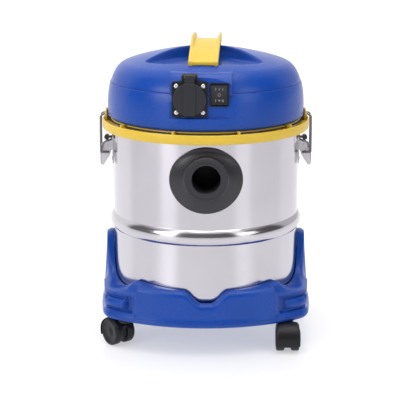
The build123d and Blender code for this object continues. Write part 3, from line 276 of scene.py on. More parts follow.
def outward(piece):
    """Merge doubles and turn every face outwards."""
    shape = bmesh.new()
    shape.from_mesh(piece.data)
    bmesh.ops.remove_doubles(shape, verts=shape.verts, dist=1e-6)
    bmesh.ops.recalc_face_normals(shape, faces=shape.faces)
    shape.to_mesh(piece.data)
    shape.free()


def soften(piece, radius, segments=3, angle=35):
    """Round the sharp edges of a piece by a radius in metres."""
    edge = piece.modifiers.new("edges", "BEVEL")
    edge.width, edge.segments = radius, segments
    edge.limit_method, edge.angle_limit = "ANGLE", math.radians(angle)
    return settle(piece)


def combine(piece, other, operation):
    """Join, trim or cut one closed solid with another, which is used up."""
    step = piece.modifiers.new("combine", "BOOLEAN")
    step.operation, step.solver, step.object = operation, "EXACT", other
    settle(piece)
    bpy.data.objects.remove(other)


def join_into(piece, others):
    """Add other meshes to a piece, each already in place."""
    shape = bmesh.new()
    shape.from_mesh(piece.data)
    for other in others:
        shape.from_mesh(other.data)
        bpy.data.objects.remove(other)
    shape.to_mesh(piece.data)
    shape.free()


def place(piece, origin, right, up):
    """Stand a piece built in its own XY plane on a plane given in millimetres."""
    turn = Matrix((right, up, right.cross(up))).transposed().to_4x4()
    piece.matrix_world = Matrix.Translation(Vector(origin) * MM) @ turn
    return settle(piece)


def shift(piece, x, y, z):
    """Move a piece by a distance in millimetres."""
    piece.matrix_world = Matrix.Translation(Vector((x, y, z)) * MM)
    return settle(piece)


def on_panel(piece, at, distance):
    """Stand a piece on a plane parallel to the control panel; its local z points outwards."""
    across, height = at
    return place(piece, PANEL_OUT * distance + PANEL_RIGHT * across + UP * height, PANEL_RIGHT, UP)


def fit(piece, body, material, stands_for=(), smooth=40):
    """Finish a piece: final mesh, smooth shading, material, and its place on the frame."""
    settle(piece)
    outward(piece)
    piece.data.shade_smooth()
    piece.data.set_sharp_from_angle(angle=math.radians(smooth))
    piece.data.materials.clear()
    piece.data.materials.append(bpy.data.materials[material])
    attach(piece, body)
    if stands_for:
        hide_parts(*stands_for)
    return piece


# ---------------------------------------------------------------- geometry node trees
def tree(name, inputs):
    """Empty geometry node tree with named inputs; returns it with its in and out nodes."""
    made = bpy.data.node_groups.new(name, "GeometryNodeTree")
    for label, kind, value in inputs:
        socket = made.interface.new_socket(label, in_out="INPUT", socket_type=kind)
        if value is not None:
            socket.default_value = value
    made.interface.new_socket("Geometry", in_out="OUTPUT", socket_type="NodeSocketGeometry")
    return made, made.nodes.new("NodeGroupInput"), made.nodes.new("NodeGroupOutput")


def grow(name, made, values):
    """Run a geometry node tree on a new object and keep the result as a plain mesh."""
    piece = add_object(name, bpy.data.meshes.new(name))
    modifier = piece.modifiers.new("grow", "NODES")
    modifier.node_group = made
    for item in made.interface.items_tree:
        if item.in_out == "INPUT" and item.name in values:
            modifier[item.identifier] = values[item.name]
    return settle(piece)


def finish_tree(made, out, last, material):
    """End a tree in Realize Instances and Set Material."""
    real = made.nodes.new("GeometryNodeRealizeInstances")
    paint = made.nodes.new("GeometryNodeSetMaterial")
    paint.inputs["Material"].default_value = material
    made.links.new(last, real.inputs[0])
    made.links.new(real.outputs[0], paint.inputs["Geometry"])
    made.links.new(paint.outputs[0], out.inputs[0])


def copies(made, start, points, angle):
    """Copies of the tree's Piece on points, each turned about the vertical by an angle."""
    spin = made.nodes.new("ShaderNodeCombineXYZ")
    copy = made.nodes.new("GeometryNodeInstanceOnPoints")
    source = made.nodes.new("GeometryNodeObjectInfo")
    made.links.new(angle, spin.inputs["Z"])
    made.links.new(points, copy.inputs["Points"])
    made.links.new(start.outputs["Piece"], source.inputs["Object"])
    made.links.new(source.outputs["Geometry"], copy.inputs["Instance"])
    made.links.new(spin.outputs[0], copy.inputs["Rotation"])
    return copy.outputs[0]


def circle_tree(name, material):
    """Copies of one piece set round a circle, each turned to face outwards."""
    made, start, out = tree(name, [
        ("Count", "NodeSocketInt", 8), ("Radius", "NodeSocketFloat", 0.1),
        ("Start angle", "NodeSocketFloat", 0.0), ("Piece", "NodeSocketObject", None),
    ])
    points = made.nodes.new("GeometryNodePoints")
    index = made.nodes.new("GeometryNodeInputIndex").outputs[0]
    share = math_node(made, "DIVIDE", index, start.outputs["Count"])
    angle = total(made, product(made, share, math.tau), start.outputs["Start angle"])
    reach = made.nodes.new("ShaderNodeCombineXYZ")
    turned = made.nodes.new("ShaderNodeVectorRotate")
    turned.rotation_type = "Z_AXIS"
    for source, target in (
        (start.outputs["Count"], points.inputs["Count"]),
        (start.outputs["Radius"], reach.inputs["X"]),
        (reach.outputs[0], turned.inputs["Vector"]),
        (angle, turned.inputs["Angle"]),
        (turned.outputs[0], points.inputs["Position"]),
    ):
        made.links.new(source, target)
    finish_tree(made, out, copies(made, start, points.outputs[0], angle), material)
    return made


def grid_tree(name, material):
    """Copies of one piece on a square grid in the local XY plane, each turned a little further."""
    made, start, out = tree(name, [
        ("Columns", "NodeSocketInt", 2), ("Rows", "NodeSocketInt", 2),
        ("Width", "NodeSocketFloat", 0.04), ("Depth", "NodeSocketFloat", 0.04),
        ("Turn", "NodeSocketFloat", 0.0), ("Piece", "NodeSocketObject", None),
    ])
    grid = made.nodes.new("GeometryNodeMeshGrid")
    for label, socket in (("Columns", "Vertices X"), ("Rows", "Vertices Y"),
                          ("Width", "Size X"), ("Depth", "Size Y")):
        made.links.new(start.outputs[label], grid.inputs[socket])
    index = made.nodes.new("GeometryNodeInputIndex").outputs[0]
    angle = product(made, index, start.outputs["Turn"])
    finish_tree(made, out, copies(made, start, grid.outputs["Mesh"], angle), material)
    return made


# ---------------------------------------------------------------- shader groups
def shader_group(name, inputs, outputs):
    made = bpy.data.node_groups.new(name, "ShaderNodeTree")
    for label, value in inputs:
        socket = made.interface.new_socket(label, in_out="INPUT", socket_type="NodeSocketFloat")
        socket.default_value = value
    for label, kind in outputs:
        made.interface.new_socket(label, in_out="OUTPUT", socket_type=kind)
    return made, made.nodes.new("NodeGroupInput"), made.nodes.new("NodeGroupOutput")


def math_node(made, operation, a, b=None, clamp=False):
    node = made.nodes.new("ShaderNodeMath")
    node.operation, node.use_clamp = operation, clamp
    for socket, value in zip(node.inputs, (a, b)):
        if isinstance(value, (int, float)):
            socket.default_value = value
        elif value is not None:
            made.links.new(value, socket)
    return node.outputs[0]


def product(made, a, b, clamp=False):
    return math_node(made, "MULTIPLY", a, b, clamp)


def total(made, a, b, clamp=False):
    return math_node(made, "ADD", a, b, clamp)


def less(made, a, b, clamp=False):
    return math_node(made, "SUBTRACT", a, b, clamp)


def vector_of(made, x, y, z):
    node = made.nodes.new("ShaderNodeCombineXYZ")
    for socket, value in zip(node.inputs, (x, y, z)):
        made.links.new(value, socket)
    return node.outputs[0]


def split_of(made, vector):
    node = made.nodes.new("ShaderNodeSeparateXYZ")
    made.links.new(vector, node.inputs[0])
    return node.outputs


def object_place(made):
    return made.nodes.new("ShaderNodeTexCoord").outputs["Object"]


def noise_node(made, vector, scale, detail=4.0, roughness=0.55):
    node = made.nodes.new("ShaderNodeTexNoise")
    made.links.new(vector, node.inputs["Vector"])
    if isinstance(scale, (int, float)):
        node.inputs["Scale"].default_value = scale
    else:
        made.links.new(scale, node.inputs["Scale"])
    node.inputs["Detail"].default_value = detail
    node.inputs["Roughness"].default_value = roughness
    return node.outputs["Fac"]


def edge_wear_group():
    """Mask of rubbed edges, broken up by noise, and the softened normal."""
    made, start, out = shader_group(
        "edge wear", [("Width", 0.0012), ("Amount", 1.0)],
        [("Mask", "NodeSocketFloat"), ("Normal", "NodeSocketVector")],
    )
    rounded = made.nodes.new("ShaderNodeBevel")
    rounded.samples = 4
    made.links.new(start.outputs["Width"], rounded.inputs["Radius"])
    facing = made.nodes.new("ShaderNodeVectorMath")
    facing.operation = "DOT_PRODUCT"
    made.links.new(rounded.outputs[0], facing.inputs[0])
    made.links.new(made.nodes.new("ShaderNodeNewGeometry").outputs["Normal"], facing.inputs[1])
    turned = less(made, 1.0, facing.outputs["Value"])
    broken = math_node(made, "POWER", noise_node(made, object_place(made), 90.0, 5.0), 2.0)
    worn = product(made, product(made, turned, 5.0), broken)
    made.links.new(product(made, worn, start.outputs["Amount"], True), out.inputs["Mask"])
    made.links.new(rounded.outputs[0], out.inputs["Normal"])


def moulded_grain_group():
    """Height of fine pits with slow sink ripples."""
    made, start, out = shader_group(
        "moulded grain", [("Scale", 900.0), ("Ripple", 12.0)], [("Height", "NodeSocketFloat")]
    )
    here = object_place(made)
    cells = made.nodes.new("ShaderNodeTexVoronoi")
    made.links.new(here, cells.inputs["Vector"])
    made.links.new(start.outputs["Scale"], cells.inputs["Scale"])
    pits = product(made, cells.outputs["Distance"], 0.35)
    sink = product(made, noise_node(made, here, start.outputs["Ripple"], 2.0), 2.0)
    made.links.new(total(made, pits, sink), out.inputs["Height"])


def handling_marks_group():
    """Masks of cloudy smudges and of fine scratches."""
    made, start, out = shader_group(
        "handling marks", [("Scale", 14.0)],
        [("Smudge", "NodeSocketFloat"), ("Scratch", "NodeSocketFloat")],
    )
    here = object_place(made)
    cloud = noise_node(made, here, start.outputs["Scale"], 6.0, 0.62)
    made.links.new(product(made, less(made, cloud, 0.42), 3.2, True), out.inputs["Smudge"])
    stretch = made.nodes.new("ShaderNodeMapping")
    stretch.inputs["Scale"].default_value = (1.0, 1.0, 9.0)
    stretch.inputs["Rotation"].default_value = (0.5, 0.35, 0.8)
    made.links.new(here, stretch.inputs["Vector"])
    lines = noise_node(made, stretch.outputs[0], 160.0, 3.0, 0.7)
    made.links.new(product(made, less(made, lines, 0.66), 9.0, True), out.inputs["Scratch"])


def settled_dust_group():
    """Mask of specks on the faces that look up."""
    made, start, out = shader_group(
        "settled dust", [("Amount", 0.3), ("Scale", 60.0)], [("Mask", "NodeSocketFloat")]
    )
    normal = split_of(made, made.nodes.new("ShaderNodeNewGeometry").outputs["Normal"])
    up = product(made, less(made, normal["Z"], 0.35), 1.4, True)
    specks = noise_node(made, object_place(made), start.outputs["Scale"], 8.0, 0.75)
    film = product(made, up, math_node(made, "POWER", specks, 3.0))
    made.links.new(product(made, film, start.outputs["Amount"], True), out.inputs["Mask"])


def turned_lines_group():
    """Fine lines round a turned surface, and slow waves in its polish."""
    made, start, out = shader_group(
        "turned lines", [("Pitch", 2600.0), ("Waver", 3.0)],
        [("Lines", "NodeSocketFloat"), ("Waves", "NodeSocketFloat")],
    )
    here = split_of(made, object_place(made))
    angle = math_node(made, "ARCTAN2", here["Y"], here["X"])
    around, across = math_node(made, "SINE", angle), math_node(made, "COSINE", angle)
    ring = vector_of(made, around, across, product(made, here["Z"], start.outputs["Pitch"]))
    made.links.new(noise_node(made, ring, 1.0, 4.0, 0.6), out.inputs["Lines"])
    slow = vector_of(made, around, across, product(made, here["Z"], 3.0))
    made.links.new(noise_node(made, slow, start.outputs["Waver"], 2.0, 0.5), out.inputs["Waves"])


def use_group(material, name, **values):
    node = material.node_tree.nodes.new("ShaderNodeGroup")
    node.node_tree = bpy.data.node_groups[name]
    for label, value in values.items():
        node.inputs[label.replace("_", " ")].default_value = value
    return node


def tinted(material, base, other, mask):
    """Colour that goes from one to another where a mask is 1."""
    node = material.node_tree.nodes.new("ShaderNodeMix")
    node.data_type = "RGBA"
    for socket, value in ((node.inputs[6], base), (node.inputs[7], other)):
        if isinstance(value, bpy.types.NodeSocket):
            material.node_tree.links.new(value, socket)
        else:
            socket.default_value = (*value, 1.0)
    material.node_tree.links.new(mask, node.inputs[0])
    return node.outputs[2]


def shade(value, factor):
    return tuple(min(c * factor, 1.0) for c in value)


def new_material(name):
    material = bpy.data.materials.new(name)
    material.use_nodes = True
    nodes = material.node_tree.nodes
    nodes.clear()
    surface = nodes.new("ShaderNodeBsdfPrincipled")
    out = nodes.new("ShaderNodeOutputMaterial")
    material.node_tree.links.new(surface.outputs[0], out.inputs["Surface"])
    return material, surface


def raise_relief(material, surface, height, depth, normal):
    relief = material.node_tree.nodes.new("ShaderNodeBump")
    relief.inputs["Distance"].default_value = depth
    for source, target in ((height, relief.inputs["Height"]), (normal, relief.inputs["Normal"]),
                           (relief.outputs[0], surface.inputs["Normal"])):
        material.node_tree.links.new(source, target)


def plastic(name, tint, rough, grain=900.0, depth=0.00003, edge=0.0012, wear=0.5, dust=0.25,
            ripple=12.0, specular=0.5):
    """Moulded plastic with grain, sink ripples, polished or rubbed edges, smudges and dust."""
    material, surface = new_material(name)
    made = material.node_tree
    worn = use_group(material, "edge wear", Width=edge, Amount=wear)
    marks = use_group(material, "handling marks", Scale=14.0)
    film = use_group(material, "settled dust", Amount=dust, Scale=60.0)
    texture = use_group(material, "moulded grain", Scale=grain, Ripple=ripple)
    body = tinted(material, tint, shade(tint, 0.90), marks.outputs["Smudge"])
    body = tinted(material, body, tuple(mix(c, 0.55, 0.22) for c in tint), worn.outputs["Mask"])
    body = tinted(material, body, (0.42, 0.40, 0.37), film.outputs["Mask"])
    made.links.new(body, surface.inputs["Base Color"])
    gloss = total(made, product(made, marks.outputs["Smudge"], 0.07),
                  product(made, film.outputs["Mask"], 0.4))
    gloss = less(made, total(made, gloss, rough), product(made, worn.outputs["Mask"], 0.10), True)
    made.links.new(gloss, surface.inputs["Roughness"])
    surface.inputs["Specular IOR Level"].default_value = specular
    raise_relief(material, surface, texture.outputs["Height"], depth, worn.outputs["Normal"])
    return material


def metal(name, tint, rough, pitch=2600.0, depth=0.000004, edge=0.0006, waves=0.0, dark=0.75):
    """Bare metal with turned or rolled lines, scratches and slightly dulled patches."""
    material, surface = new_material(name)
    made = material.node_tree
    worn = use_group(material, "edge wear", Width=edge, Amount=0.4)
    marks = use_group(material, "handling marks", Scale=9.0)
    lines = use_group(material, "turned lines", Pitch=pitch, Waver=2.2)
    dull = product(made, marks.outputs["Smudge"], 0.25)
    body = tinted(material, tint, shade(tint, dark), dull)
    body = tinted(material, body, shade(tint, 1.15), worn.outputs["Mask"])
    made.links.new(body, surface.inputs["Base Color"])
    surface.inputs["Metallic"].default_value = 1.0
    gloss = total(made, product(made, lines.outputs["Lines"], rough * 0.5),
                  product(made, marks.outputs["Scratch"], 0.05))
    made.links.new(total(made, gloss, rough * 0.75, True), surface.inputs["Roughness"])
    height = total(made, lines.outputs["Lines"], product(made, lines.outputs["Waves"], waves))
    raise_relief(material, surface, height, depth, worn.outputs["Normal"])
    return material


FINISHES = {
    "blue_shell": "blue plastic", "yellow_trim": "yellow plastic", "drum_steel": "polished drum",
    "latch_steel": "latch steel", "screw_steel": "plated screws", "black_plastic": "satin black",
    "socket_black": "charcoal plastic", "seal_rubber": "seal rubber", "bush_nylon": "nylon",
    "cast_aluminium": "cast aluminium", "motor_core": "motor core", "grey_plastic": "grey plastic",
    "filter_paper": "filter paper", "caster_hood": "caster black", "caster_wheel": "wheel grey",
}


# nodes whose finish differs a little from the rest of their slot
NODE_FINISHES = {"socket_plate": "plate black", "switch_frame": "plate black"}


def build_finishes():
    tints = bpy.context.scene.vacuum_colours
    for build_group in (edge_wear_group, moulded_grain_group, handling_marks_group,
                        settled_dust_group, turned_lines_group):
        build_group()
    plastic("blue plastic", tuple(tints.shell), 0.26, grain=700.0, depth=0.000035, edge=0.0016,
            wear=0.30, dust=0.12, ripple=9.0, specular=0.32)
    plastic("yellow plastic", tuple(tints.trim), 0.36, grain=800.0, depth=0.00003, edge=0.0014,
            wear=0.5, dust=0.10)
    metal("polished drum", tuple(tints.drum), 0.16, pitch=2200.0, depth=0.0000022, edge=0.0005,
          waves=160.0)
    metal("latch steel", tuple(tints.steel), 0.30, pitch=3000.0, edge=0.0008, dark=0.6)
    metal("wire steel", shade(tuple(tints.steel), 0.42), 0.28, pitch=3000.0, edge=0.0003, dark=0.6)
    metal("plated screws", (0.78, 0.78, 0.80), 0.24, pitch=4000.0)
    plastic("satin black", tuple(tints.rubber), 0.34, grain=1200.0, wear=0.5, dust=0.3)
    plastic("charcoal plastic", tuple(tints.dark), 0.40, grain=1500.0, wear=0.6, dust=0.25)
    plastic("plate black", shade(tuple(tints.dark), 0.35), 0.36, grain=1500.0, wear=0.25, dust=0.1,
            specular=0.35)
    plastic("seal rubber", (0.02, 0.02, 0.022), 0.6, grain=1600.0, wear=0.2, dust=0.4)
    plastic("nylon", (0.60, 0.60, 0.57), 0.4, wear=0.2)
    metal("cast aluminium", (0.62, 0.63, 0.65), 0.45, pitch=600.0, depth=0.00002)
    metal("motor core", (0.25, 0.22, 0.20), 0.5, pitch=6000.0, depth=0.00002)
    plastic("grey plastic", (0.20, 0.21, 0.23), 0.4)
    plastic("filter paper", (0.78, 0.74, 0.62), 0.85, grain=2400.0, depth=0.0001, wear=0.3, dust=0.9)
    plastic("caster black", tuple(tints.wheel), 0.42, grain=1100.0, wear=0.25, dust=0.12, specular=0.35)
    plastic("wheel grey", shade(tuple(tints.wheel), 1.3), 0.38, grain=1300.0, wear=0.3, dust=0.12,
            specular=0.35)
    plastic("switch marks", tuple(tints.mark), 0.45, grain=2000.0, wear=0.2, dust=0.1)


def dress_frame():
    """Give each node of the frame the procedural material of its slot."""
    for row in frame["record"]["subparts"]:
        node = NODES[row["node"]]
        node.data.materials.clear()
        finish = NODE_FINISHES.get(row["node"], FINISHES[row["material_slot"]])
        node.data.materials.append(bpy.data.materials[finish])


# ---------------------------------------------------------------- tray
TRAY_STEPS, WALL_STEPS, UNDER_POINTS = 600, 38, 6
POCKET_FOLD = (41.6, 56.8)      # degrees from the front or the back
DRUM_ROOM = 142.4
FRONT_ARC, SIDE_ARC = (89.2, 245.2), (536.4, 697.4)     # centre's distance past the axis, radius


def arc_reach(share, centre, radius):
    """Distance from the axis to an arc, along a line with this share of the arc's direction."""
    return math.sqrt((centre * share) ** 2 + radius ** 2 - centre ** 2) - centre * share


def tray_reach(angle):
    """Distance from the axis to the tray's outer wall; the angle is from the front."""
    to_front = arc_reach(abs(math.cos(angle)), *FRONT_ARC)
    to_side = arc_reach(abs(math.sin(angle)), *SIDE_ARC)
    return soft_min(to_front, to_side, 12.0)


def bezier(a, b, c, d, count):
    """Points along a cubic curve, its start left out."""
    found = []
    for step in range(1, count + 1):
        t = step / count
        weights = ((1 - t) ** 3, 3 * t * (1 - t) ** 2, 3 * t * t * (1 - t), t ** 3)
        found.append(tuple(sum(w * p[k] for w, p in zip(weights, (a, b, c, d))) for k in (0, 1)))
    return found


def tray_ring(angle, sizes, inner_edge, front_rim):
    """Profile of the tray at one angle: lower edge, wall, top, drum pocket, deck and underside."""
    side = abs(math.sin(angle))
    fold = math.degrees(math.asin(min(side, 1.0)))
    reach = tray_reach(angle)
    bottom = sizes.tray_bottom / MM
    lip = bottom + sizes.tray_lip / MM
    edge = sizes.tray_edge / MM
    outer_x, inner_x = reach * side, 146.5 * side
    pod_out, pod_in = ease(103.5, 108.5, outer_x), ease(103.0, 109.5, inner_x)
    rim = front_rim(min(inner_x, 109.0))
    height = inner_edge(fold)
    arm = ease(88.0, 150.0, height) if fold > 60 else 0.0
    setback = 1.2 + 2.2 * pod_out

    wall_top = mix(rim - edge, mix(87.0, 70.0, ease(0.0, 0.8, arm)), pod_out)
    start = (reach - setback, wall_top)
    front = [(start[0] - 0.1, rim - edge * 0.35), (start[0] - edge * 0.45, rim - 0.4), (147.6, rim)]
    shoulder = [
        (start[0] - mix(9.0, 0.8, arm), wall_top + mix(2.6, 26.0, arm)),
        (mix(156.0, 154.3, arm), mix(height + 0.5, height - 34.0, arm)),
        (mix(147.6, 153.2, arm), height - mix(0.2, 2.8, arm)),
    ]
    share = (pod_out, (pod_out + pod_in) / 2, pod_in)
    curve = [tuple(mix(a, b, t) for a, b in zip(f, q)) for f, q, t in zip(front, shoulder, share)]
    crest = mix(rim, height, pod_in)

    low = [(reach - 6.5 + 6.5 * math.sin(t), bottom + 6.5 - 6.5 * math.cos(t))
           for t in (0, 0.32, 0.64, 0.96, 1.28)]
    low += [(reach, bottom + 6.9), (reach - 0.1, lip - 0.5), (reach - 0.8, lip + 0.2)]
    wall = []
    for step in range(WALL_STEPS):
        level = mix(lip + 0.9, wall_top, step / (WALL_STEPS - 1))
        inset = setback * ease(lip + 0.2, lip + 7, level)
        pocket = bump(fold, *POCKET_FOLD, 0.8) * bump(level, 58.5, 82.0, 1.4)
        off = (level - sizes.peg_height / MM) * MM / sizes.peg_radius
        peg = math.sqrt(max(1 - off * off, 0.0)) * bump(fold, 45.4, 61.0, 0.45)
        deep = 4.6 + 3.2 * bump(fold, 40.0, 45.2, 0.5)
        inset += deep * pocket * (1 - peg) - 2.4 * peg
        inset += 1.5 * bump(level, 82.8, 84.8, 0.5) * bump(fold, 40.5, 61.0, 1.0)
        wall.append((reach - inset, level))
    top = bezier(wall[-1], *curve, 22)
    end_r = top[-1][0]
    over = [(mix(end_r, 143.6, step / 6), mix(top[-1][1], crest, ease(0, 1, step / 3)))
            for step in range(1, 7)]
    over += [(DRUM_ROOM + 0.4, crest - 0.5), (DRUM_ROOM + 0.05, crest - 1.3)]
    pocket = [(DRUM_ROOM, mix(crest - 2.4, 66.0, step / 8)) for step in range(9)]
    deck = [(141.6, DECK_TOP + 1.5)] + [(radius, DECK_TOP) for radius in (139.6, 110.0, 60.0)]
    under = [(60.0, DECK_BOTTOM), (120.0, DECK_BOTTOM), (reach - 8.0, DECK_BOTTOM),
             (reach - 3.6, DECK_BOTTOM - 2), (reach - 3.2, bottom + 6.5), (reach - 4.9, bottom + 1.8)]
    return low + wall + top + over + pocket + deck + under


def build_tray():
    """Tray with its arms, pods, pockets and notch; ribs and caster bosses under its deck."""
    sizes = bpy.context.scene.vacuum_sizes
    inner_edge = through([(40, 99), (47, 97), (51, 93.5), (55, 89.5), (59.5, 87.5), (64, 88.5),
                          (68, 90.5), (72.5, 95), (76, 101), (79, 111), (81.5, 125),
                          (83.5, 143), (85, 154), (90, 156)])
    front_rim = through([(0, sizes.notch_floor / MM), (7, sizes.notch_floor / MM),
                         (11, sizes.notch_floor / MM + 1.4), (28, 96.8), (33.5, 99.0), (60, 100.2),
                         (85, 102.0), (104, 103.2), (109, 103.4)])

    def denser(degree):
        """More rings near the notch, the corner pockets and the arms."""
        fold = min(degree % 180, 180 - degree % 180)
        return 1.0 + 1.3 * bump(fold, 0, 12, 3) + bump(fold, 36, 60, 3) + 0.8 * bump(fold, 66, 84, 3)

    density = [denser(degree) for degree in range(360)]
    reached = [0.0]
    for value in density:
        reached.append(reached[-1] + value)
    angles, k = [], 0
    for step in range(TRAY_STEPS):
        goal = reached[-1] * step / TRAY_STEPS
        while reached[k + 1] <= goal:
            k += 1
        angles.append(math.radians(k + (goal - reached[k]) / density[k]))

    profiles = [tray_ring(angle, sizes, inner_edge, front_rim) for angle in angles]
    rings = [[(profile[k][0] * math.sin(angle), -profile[k][0] * math.cos(angle), profile[k][1])
              for angle, profile in zip(angles, profiles)] for k in range(len(profiles[0]))]
    under = len(rings) - UNDER_POINTS
    tray = skin("base_tray", rings[:under] + [[(0, 0, DECK_TOP)]])
    join_into(tray, [skin("underside", [[(0, 0, DECK_BOTTOM)]] + rings[under:] + rings[:1])])
    fit(tray, "base", "blue plastic", ("base_shell",), smooth=50)

    rib = settle(prism("deck_rib", rounded_box(42, 1.25, 0.6, 3), RIBS_BOTTOM, DECK_BOTTOM + 0.2))
    ribs = grow("deck_ribs", circle_tree("ribs round the deck", bpy.data.materials["blue plastic"]), {
        "Count": sizes.deck_ribs, "Radius": 102 * MM, "Start angle": math.radians(22.5), "Piece": rib,
    })
    bpy.data.objects.remove(rib)
    parts = [lathe("deck_hoop", [(58.5, RIBS_BOTTOM), (61, RIBS_BOTTOM), (61, DECK_BOTTOM + 0.2),
                                 (58.5, DECK_BOTTOM + 0.2)], 120, loop=True)]
    for x in (-CASTER_X, CASTER_X):
        for y in (-CASTER_Y, CASTER_Y):
            boss = lathe("boss", [(0, 49.1), (12, 49.1), (12, 58.2), (0, 58.2)], 40)
            parts.append(shift(boss, x, y, 0))
    join_into(ribs, parts)
    fit(ribs, "base", "blue plastic")


# ---------------------------------------------------------------- head
COVER_STEPS = 480
EXHAUST_HALF = math.radians(20)


def build_cover():
    """Domed cover with the hand recess sunk in it."""
    sizes = bpy.context.scene.vacuum_sizes
    dome = through([(0, 440.9), (45, 437.2), (88, 429.2), (110, 423.4), (119, 420.4)])
    flank = [(143.4, 390.2), (143.0, 392.5), (142.2, 395.2), (141.0, 398.4), (139.6, 401.4),
             (138.0, 404.6), (136.0, 408.0), (133.2, 411.6), (129.4, 415.2), (124.6, 418.2),
             (119, 420.4)]
    flank = resample(flank, 26)
    top = [(119 * (1 - i / 90), dome(119 * (1 - i / 90))) for i in range(1, 90)]
    floor = sizes.recess_floor / MM
    soft = sizes.recess_round / MM

    def recessed(x, y, height):
        """Hand recess sunk in the dome: an arc along the front, narrowing to the back."""
        across = abs(x * math.cos(HEAD_TURN) - y * math.sin(HEAD_TURN))
        back = x * math.sin(HEAD_TURN) + y * math.cos(HEAD_TURN)
        front = 105.0 + 9.0 * (across / 96) ** 2 - math.hypot(x, y)
        side = (96.0 - 0.766 * (back + 60) - across) / 1.26
        inside = soft_min(soft_min(front, side, 9.0), 48 - back, 20.0)
        wall = floor + (7.0 - inside) * 2.6
        return soft_min(height, soft_max(wall, floor, 6.0), soft)

    rings = [[(0, 0, 390.2)]]
    rings += [circle(radius, height, COVER_STEPS) for radius, height in
              [(70, 390.2), (141.5, 390.2)] + flank]
    rings += [[(x, y, recessed(x, y, z)) for x, y, z in circle(radius, height, COVER_STEPS)]
              for radius, height in top]
    rings.append([(0, 0, recessed(0, 0, dome(0)))])
    cover = skin("head_cover", rings)
    fit(cover, "head", "blue plastic", ("top_cover",), smooth=42)


def panel_block(name, outline, at, near, far):
    """Block square to the panel, between two distances from the axis."""
    return on_panel(prism(name, outline, 0, far - near), at, near)


def rectangle(half_x, half_y):
    return [(-half_x, -half_y), (half_x, -half_y), (half_x, half_y), (-half_x, half_y)]


def build_housing():
    """Lower housing: a turned band, the panel's flat cut into it and the tower above the panel."""
    housing = lathe("head_housing", [
        (144, 336.2), (144, 338.6), (144.4, 339), (148.0, 339), (148.7, 339.3), (149, 340.0), (149, 348),
        (149, 356), (148.85, 361), (148.5, 366), (148.1, 371), (147.6, 376), (146.9, 380.5),
        (146.1, 384.5), (145.2, 388.2), (144.7, 389.5), (143.9, 390), (137, 390), (137, 336.2),
    ], 240, loop=True)
    outward(housing)
    tower = panel_block("tower", rectangle(PANEL_HALF, 18), (0, 407),
                        PANEL_DISTANCE - 36, PANEL_DISTANCE)
    hood = lathe("hood", [
        (0, 300), (170, 300), (170, 392), (160, 396), (152.5, 400), (147.8, 404.5), (144.6, 409),
        (141.8, 413.2), (138.5, 416.6), (134, 419), (0, 419),
    ], 240)
    outward(hood)
    combine(tower, hood, "INTERSECT")
    outward(tower)
    combine(housing, soften(tower, 1.3 * MM, 3, 30), "UNION")
    edge = Vector((math.sin(EXHAUST_HALF), math.cos(EXHAUST_HALF)))
    for cutter in (
        panel_block("facet", rectangle(PANEL_HALF, 18), (0, 373), PANEL_DISTANCE, 171.5),
        panel_block("well", [point[:2] for point in circle(21, 0, 60)], SOCKET_AT, 130, 150),
        panel_block("window", rectangle(12.5, 15.5), SWITCH_AT, 130, 150),
        prism("exhaust", [(-120 * edge.x, 120 * edge.y), (120 * edge.x, 120 * edge.y),
                          (172 * edge.x, 172 * edge.y), (-172 * edge.x, 172 * edge.y)], 347, 383),
    ):
        combine(housing, cutter, "DIFFERENCE")
    fit(housing, "head", "blue plastic", ("motor_housing",), smooth=32)


# ---------------------------------------------------------------- collar ring
def build_ring():
    """Collar ring with its groove, ribs and the ears that the bails hook on."""
    sizes = bpy.context.scene.vacuum_sizes
    ring = lathe("collar", [
        (154.2, 319.0), (156.2, 319.0), (157.0, 319.9), (157.0, 331.6), (156.6, 332.6), (155.7, 333.1),
        (154.7, 332.8), (153.9, 331.8), (153.7, 330.0), (152.6, 328.9), (146.9, 328.7), (145.5, 329.3),
        (145.0, 331.2), (145.0, 334.9), (144.4, 335.6), (137.0, 335.6), (136.5, 335.2), (136.5, 333.8),
        (137.0, 333.4), (142.9, 333.4), (143.4, 332.8), (143.4, 328.2), (146.8, 327.3), (152.8, 327.2),
        (153.6, 326.4), (153.7, 319.6),
    ], 300, loop=True)
    outward(ring)
    rib = settle(prism("rib", rounded_box(5.0, sizes.ring_rib / MM / 2, 0.4, 3), 329.0, 336.6))
    ribs = grow("ribs", circle_tree("ribs round the ring", bpy.data.materials["yellow plastic"]), {
        "Count": 10, "Radius": 149.6 * MM, "Start angle": math.radians(-72), "Piece": rib,
    })
    bpy.data.objects.remove(rib)
    parts = [ribs]
    for sign in (-1, 1):
        ear = prism("ear", [(-10.2, 329), (10.2, 329), (10.2, 342.5), (9.4, 344.9), (7.2, 346),
                            (-7.2, 346), (-9.4, 344.9), (-10.2, 342.5)], -1.4, 1.4)
        place(ear, (sign * 151.3, 0, 0), Vector((0, sign, 0)), UP)
        outward(ear)
        parts.append(soften(ear, 0.5 * MM, 2))
    join_into(ring, parts)
    fit(ring, "base", "yellow plastic", ("collar_ring",), smooth=42)


# ---------------------------------------------------------------- latches
def wire_path(name, points, radius):
    """Round wire through points in millimetres, kept as a closed mesh."""
    line = bpy.data.curves.new(name, "CURVE")
    line.dimensions = "3D"
    line.bevel_depth, line.bevel_resolution, line.use_fill_caps = radius, 4, True
    line.resolution_u = 6
    spline = line.splines.new("BEZIER")
    spline.bezier_points.add(len(points) - 1)
    for knot, point in zip(spline.bezier_points, points):
        knot.co = Vector(point) * MM
        knot.handle_left_type = knot.handle_right_type = "VECTOR"
    drawn = add_object(name, line)
    bpy.context.view_layer.update()
    graph = bpy.context.evaluated_depsgraph_get()
    mesh = bpy.data.meshes.new_from_object(drawn.evaluated_get(graph))
    bpy.data.objects.remove(drawn)
    return add_object(name, mesh)


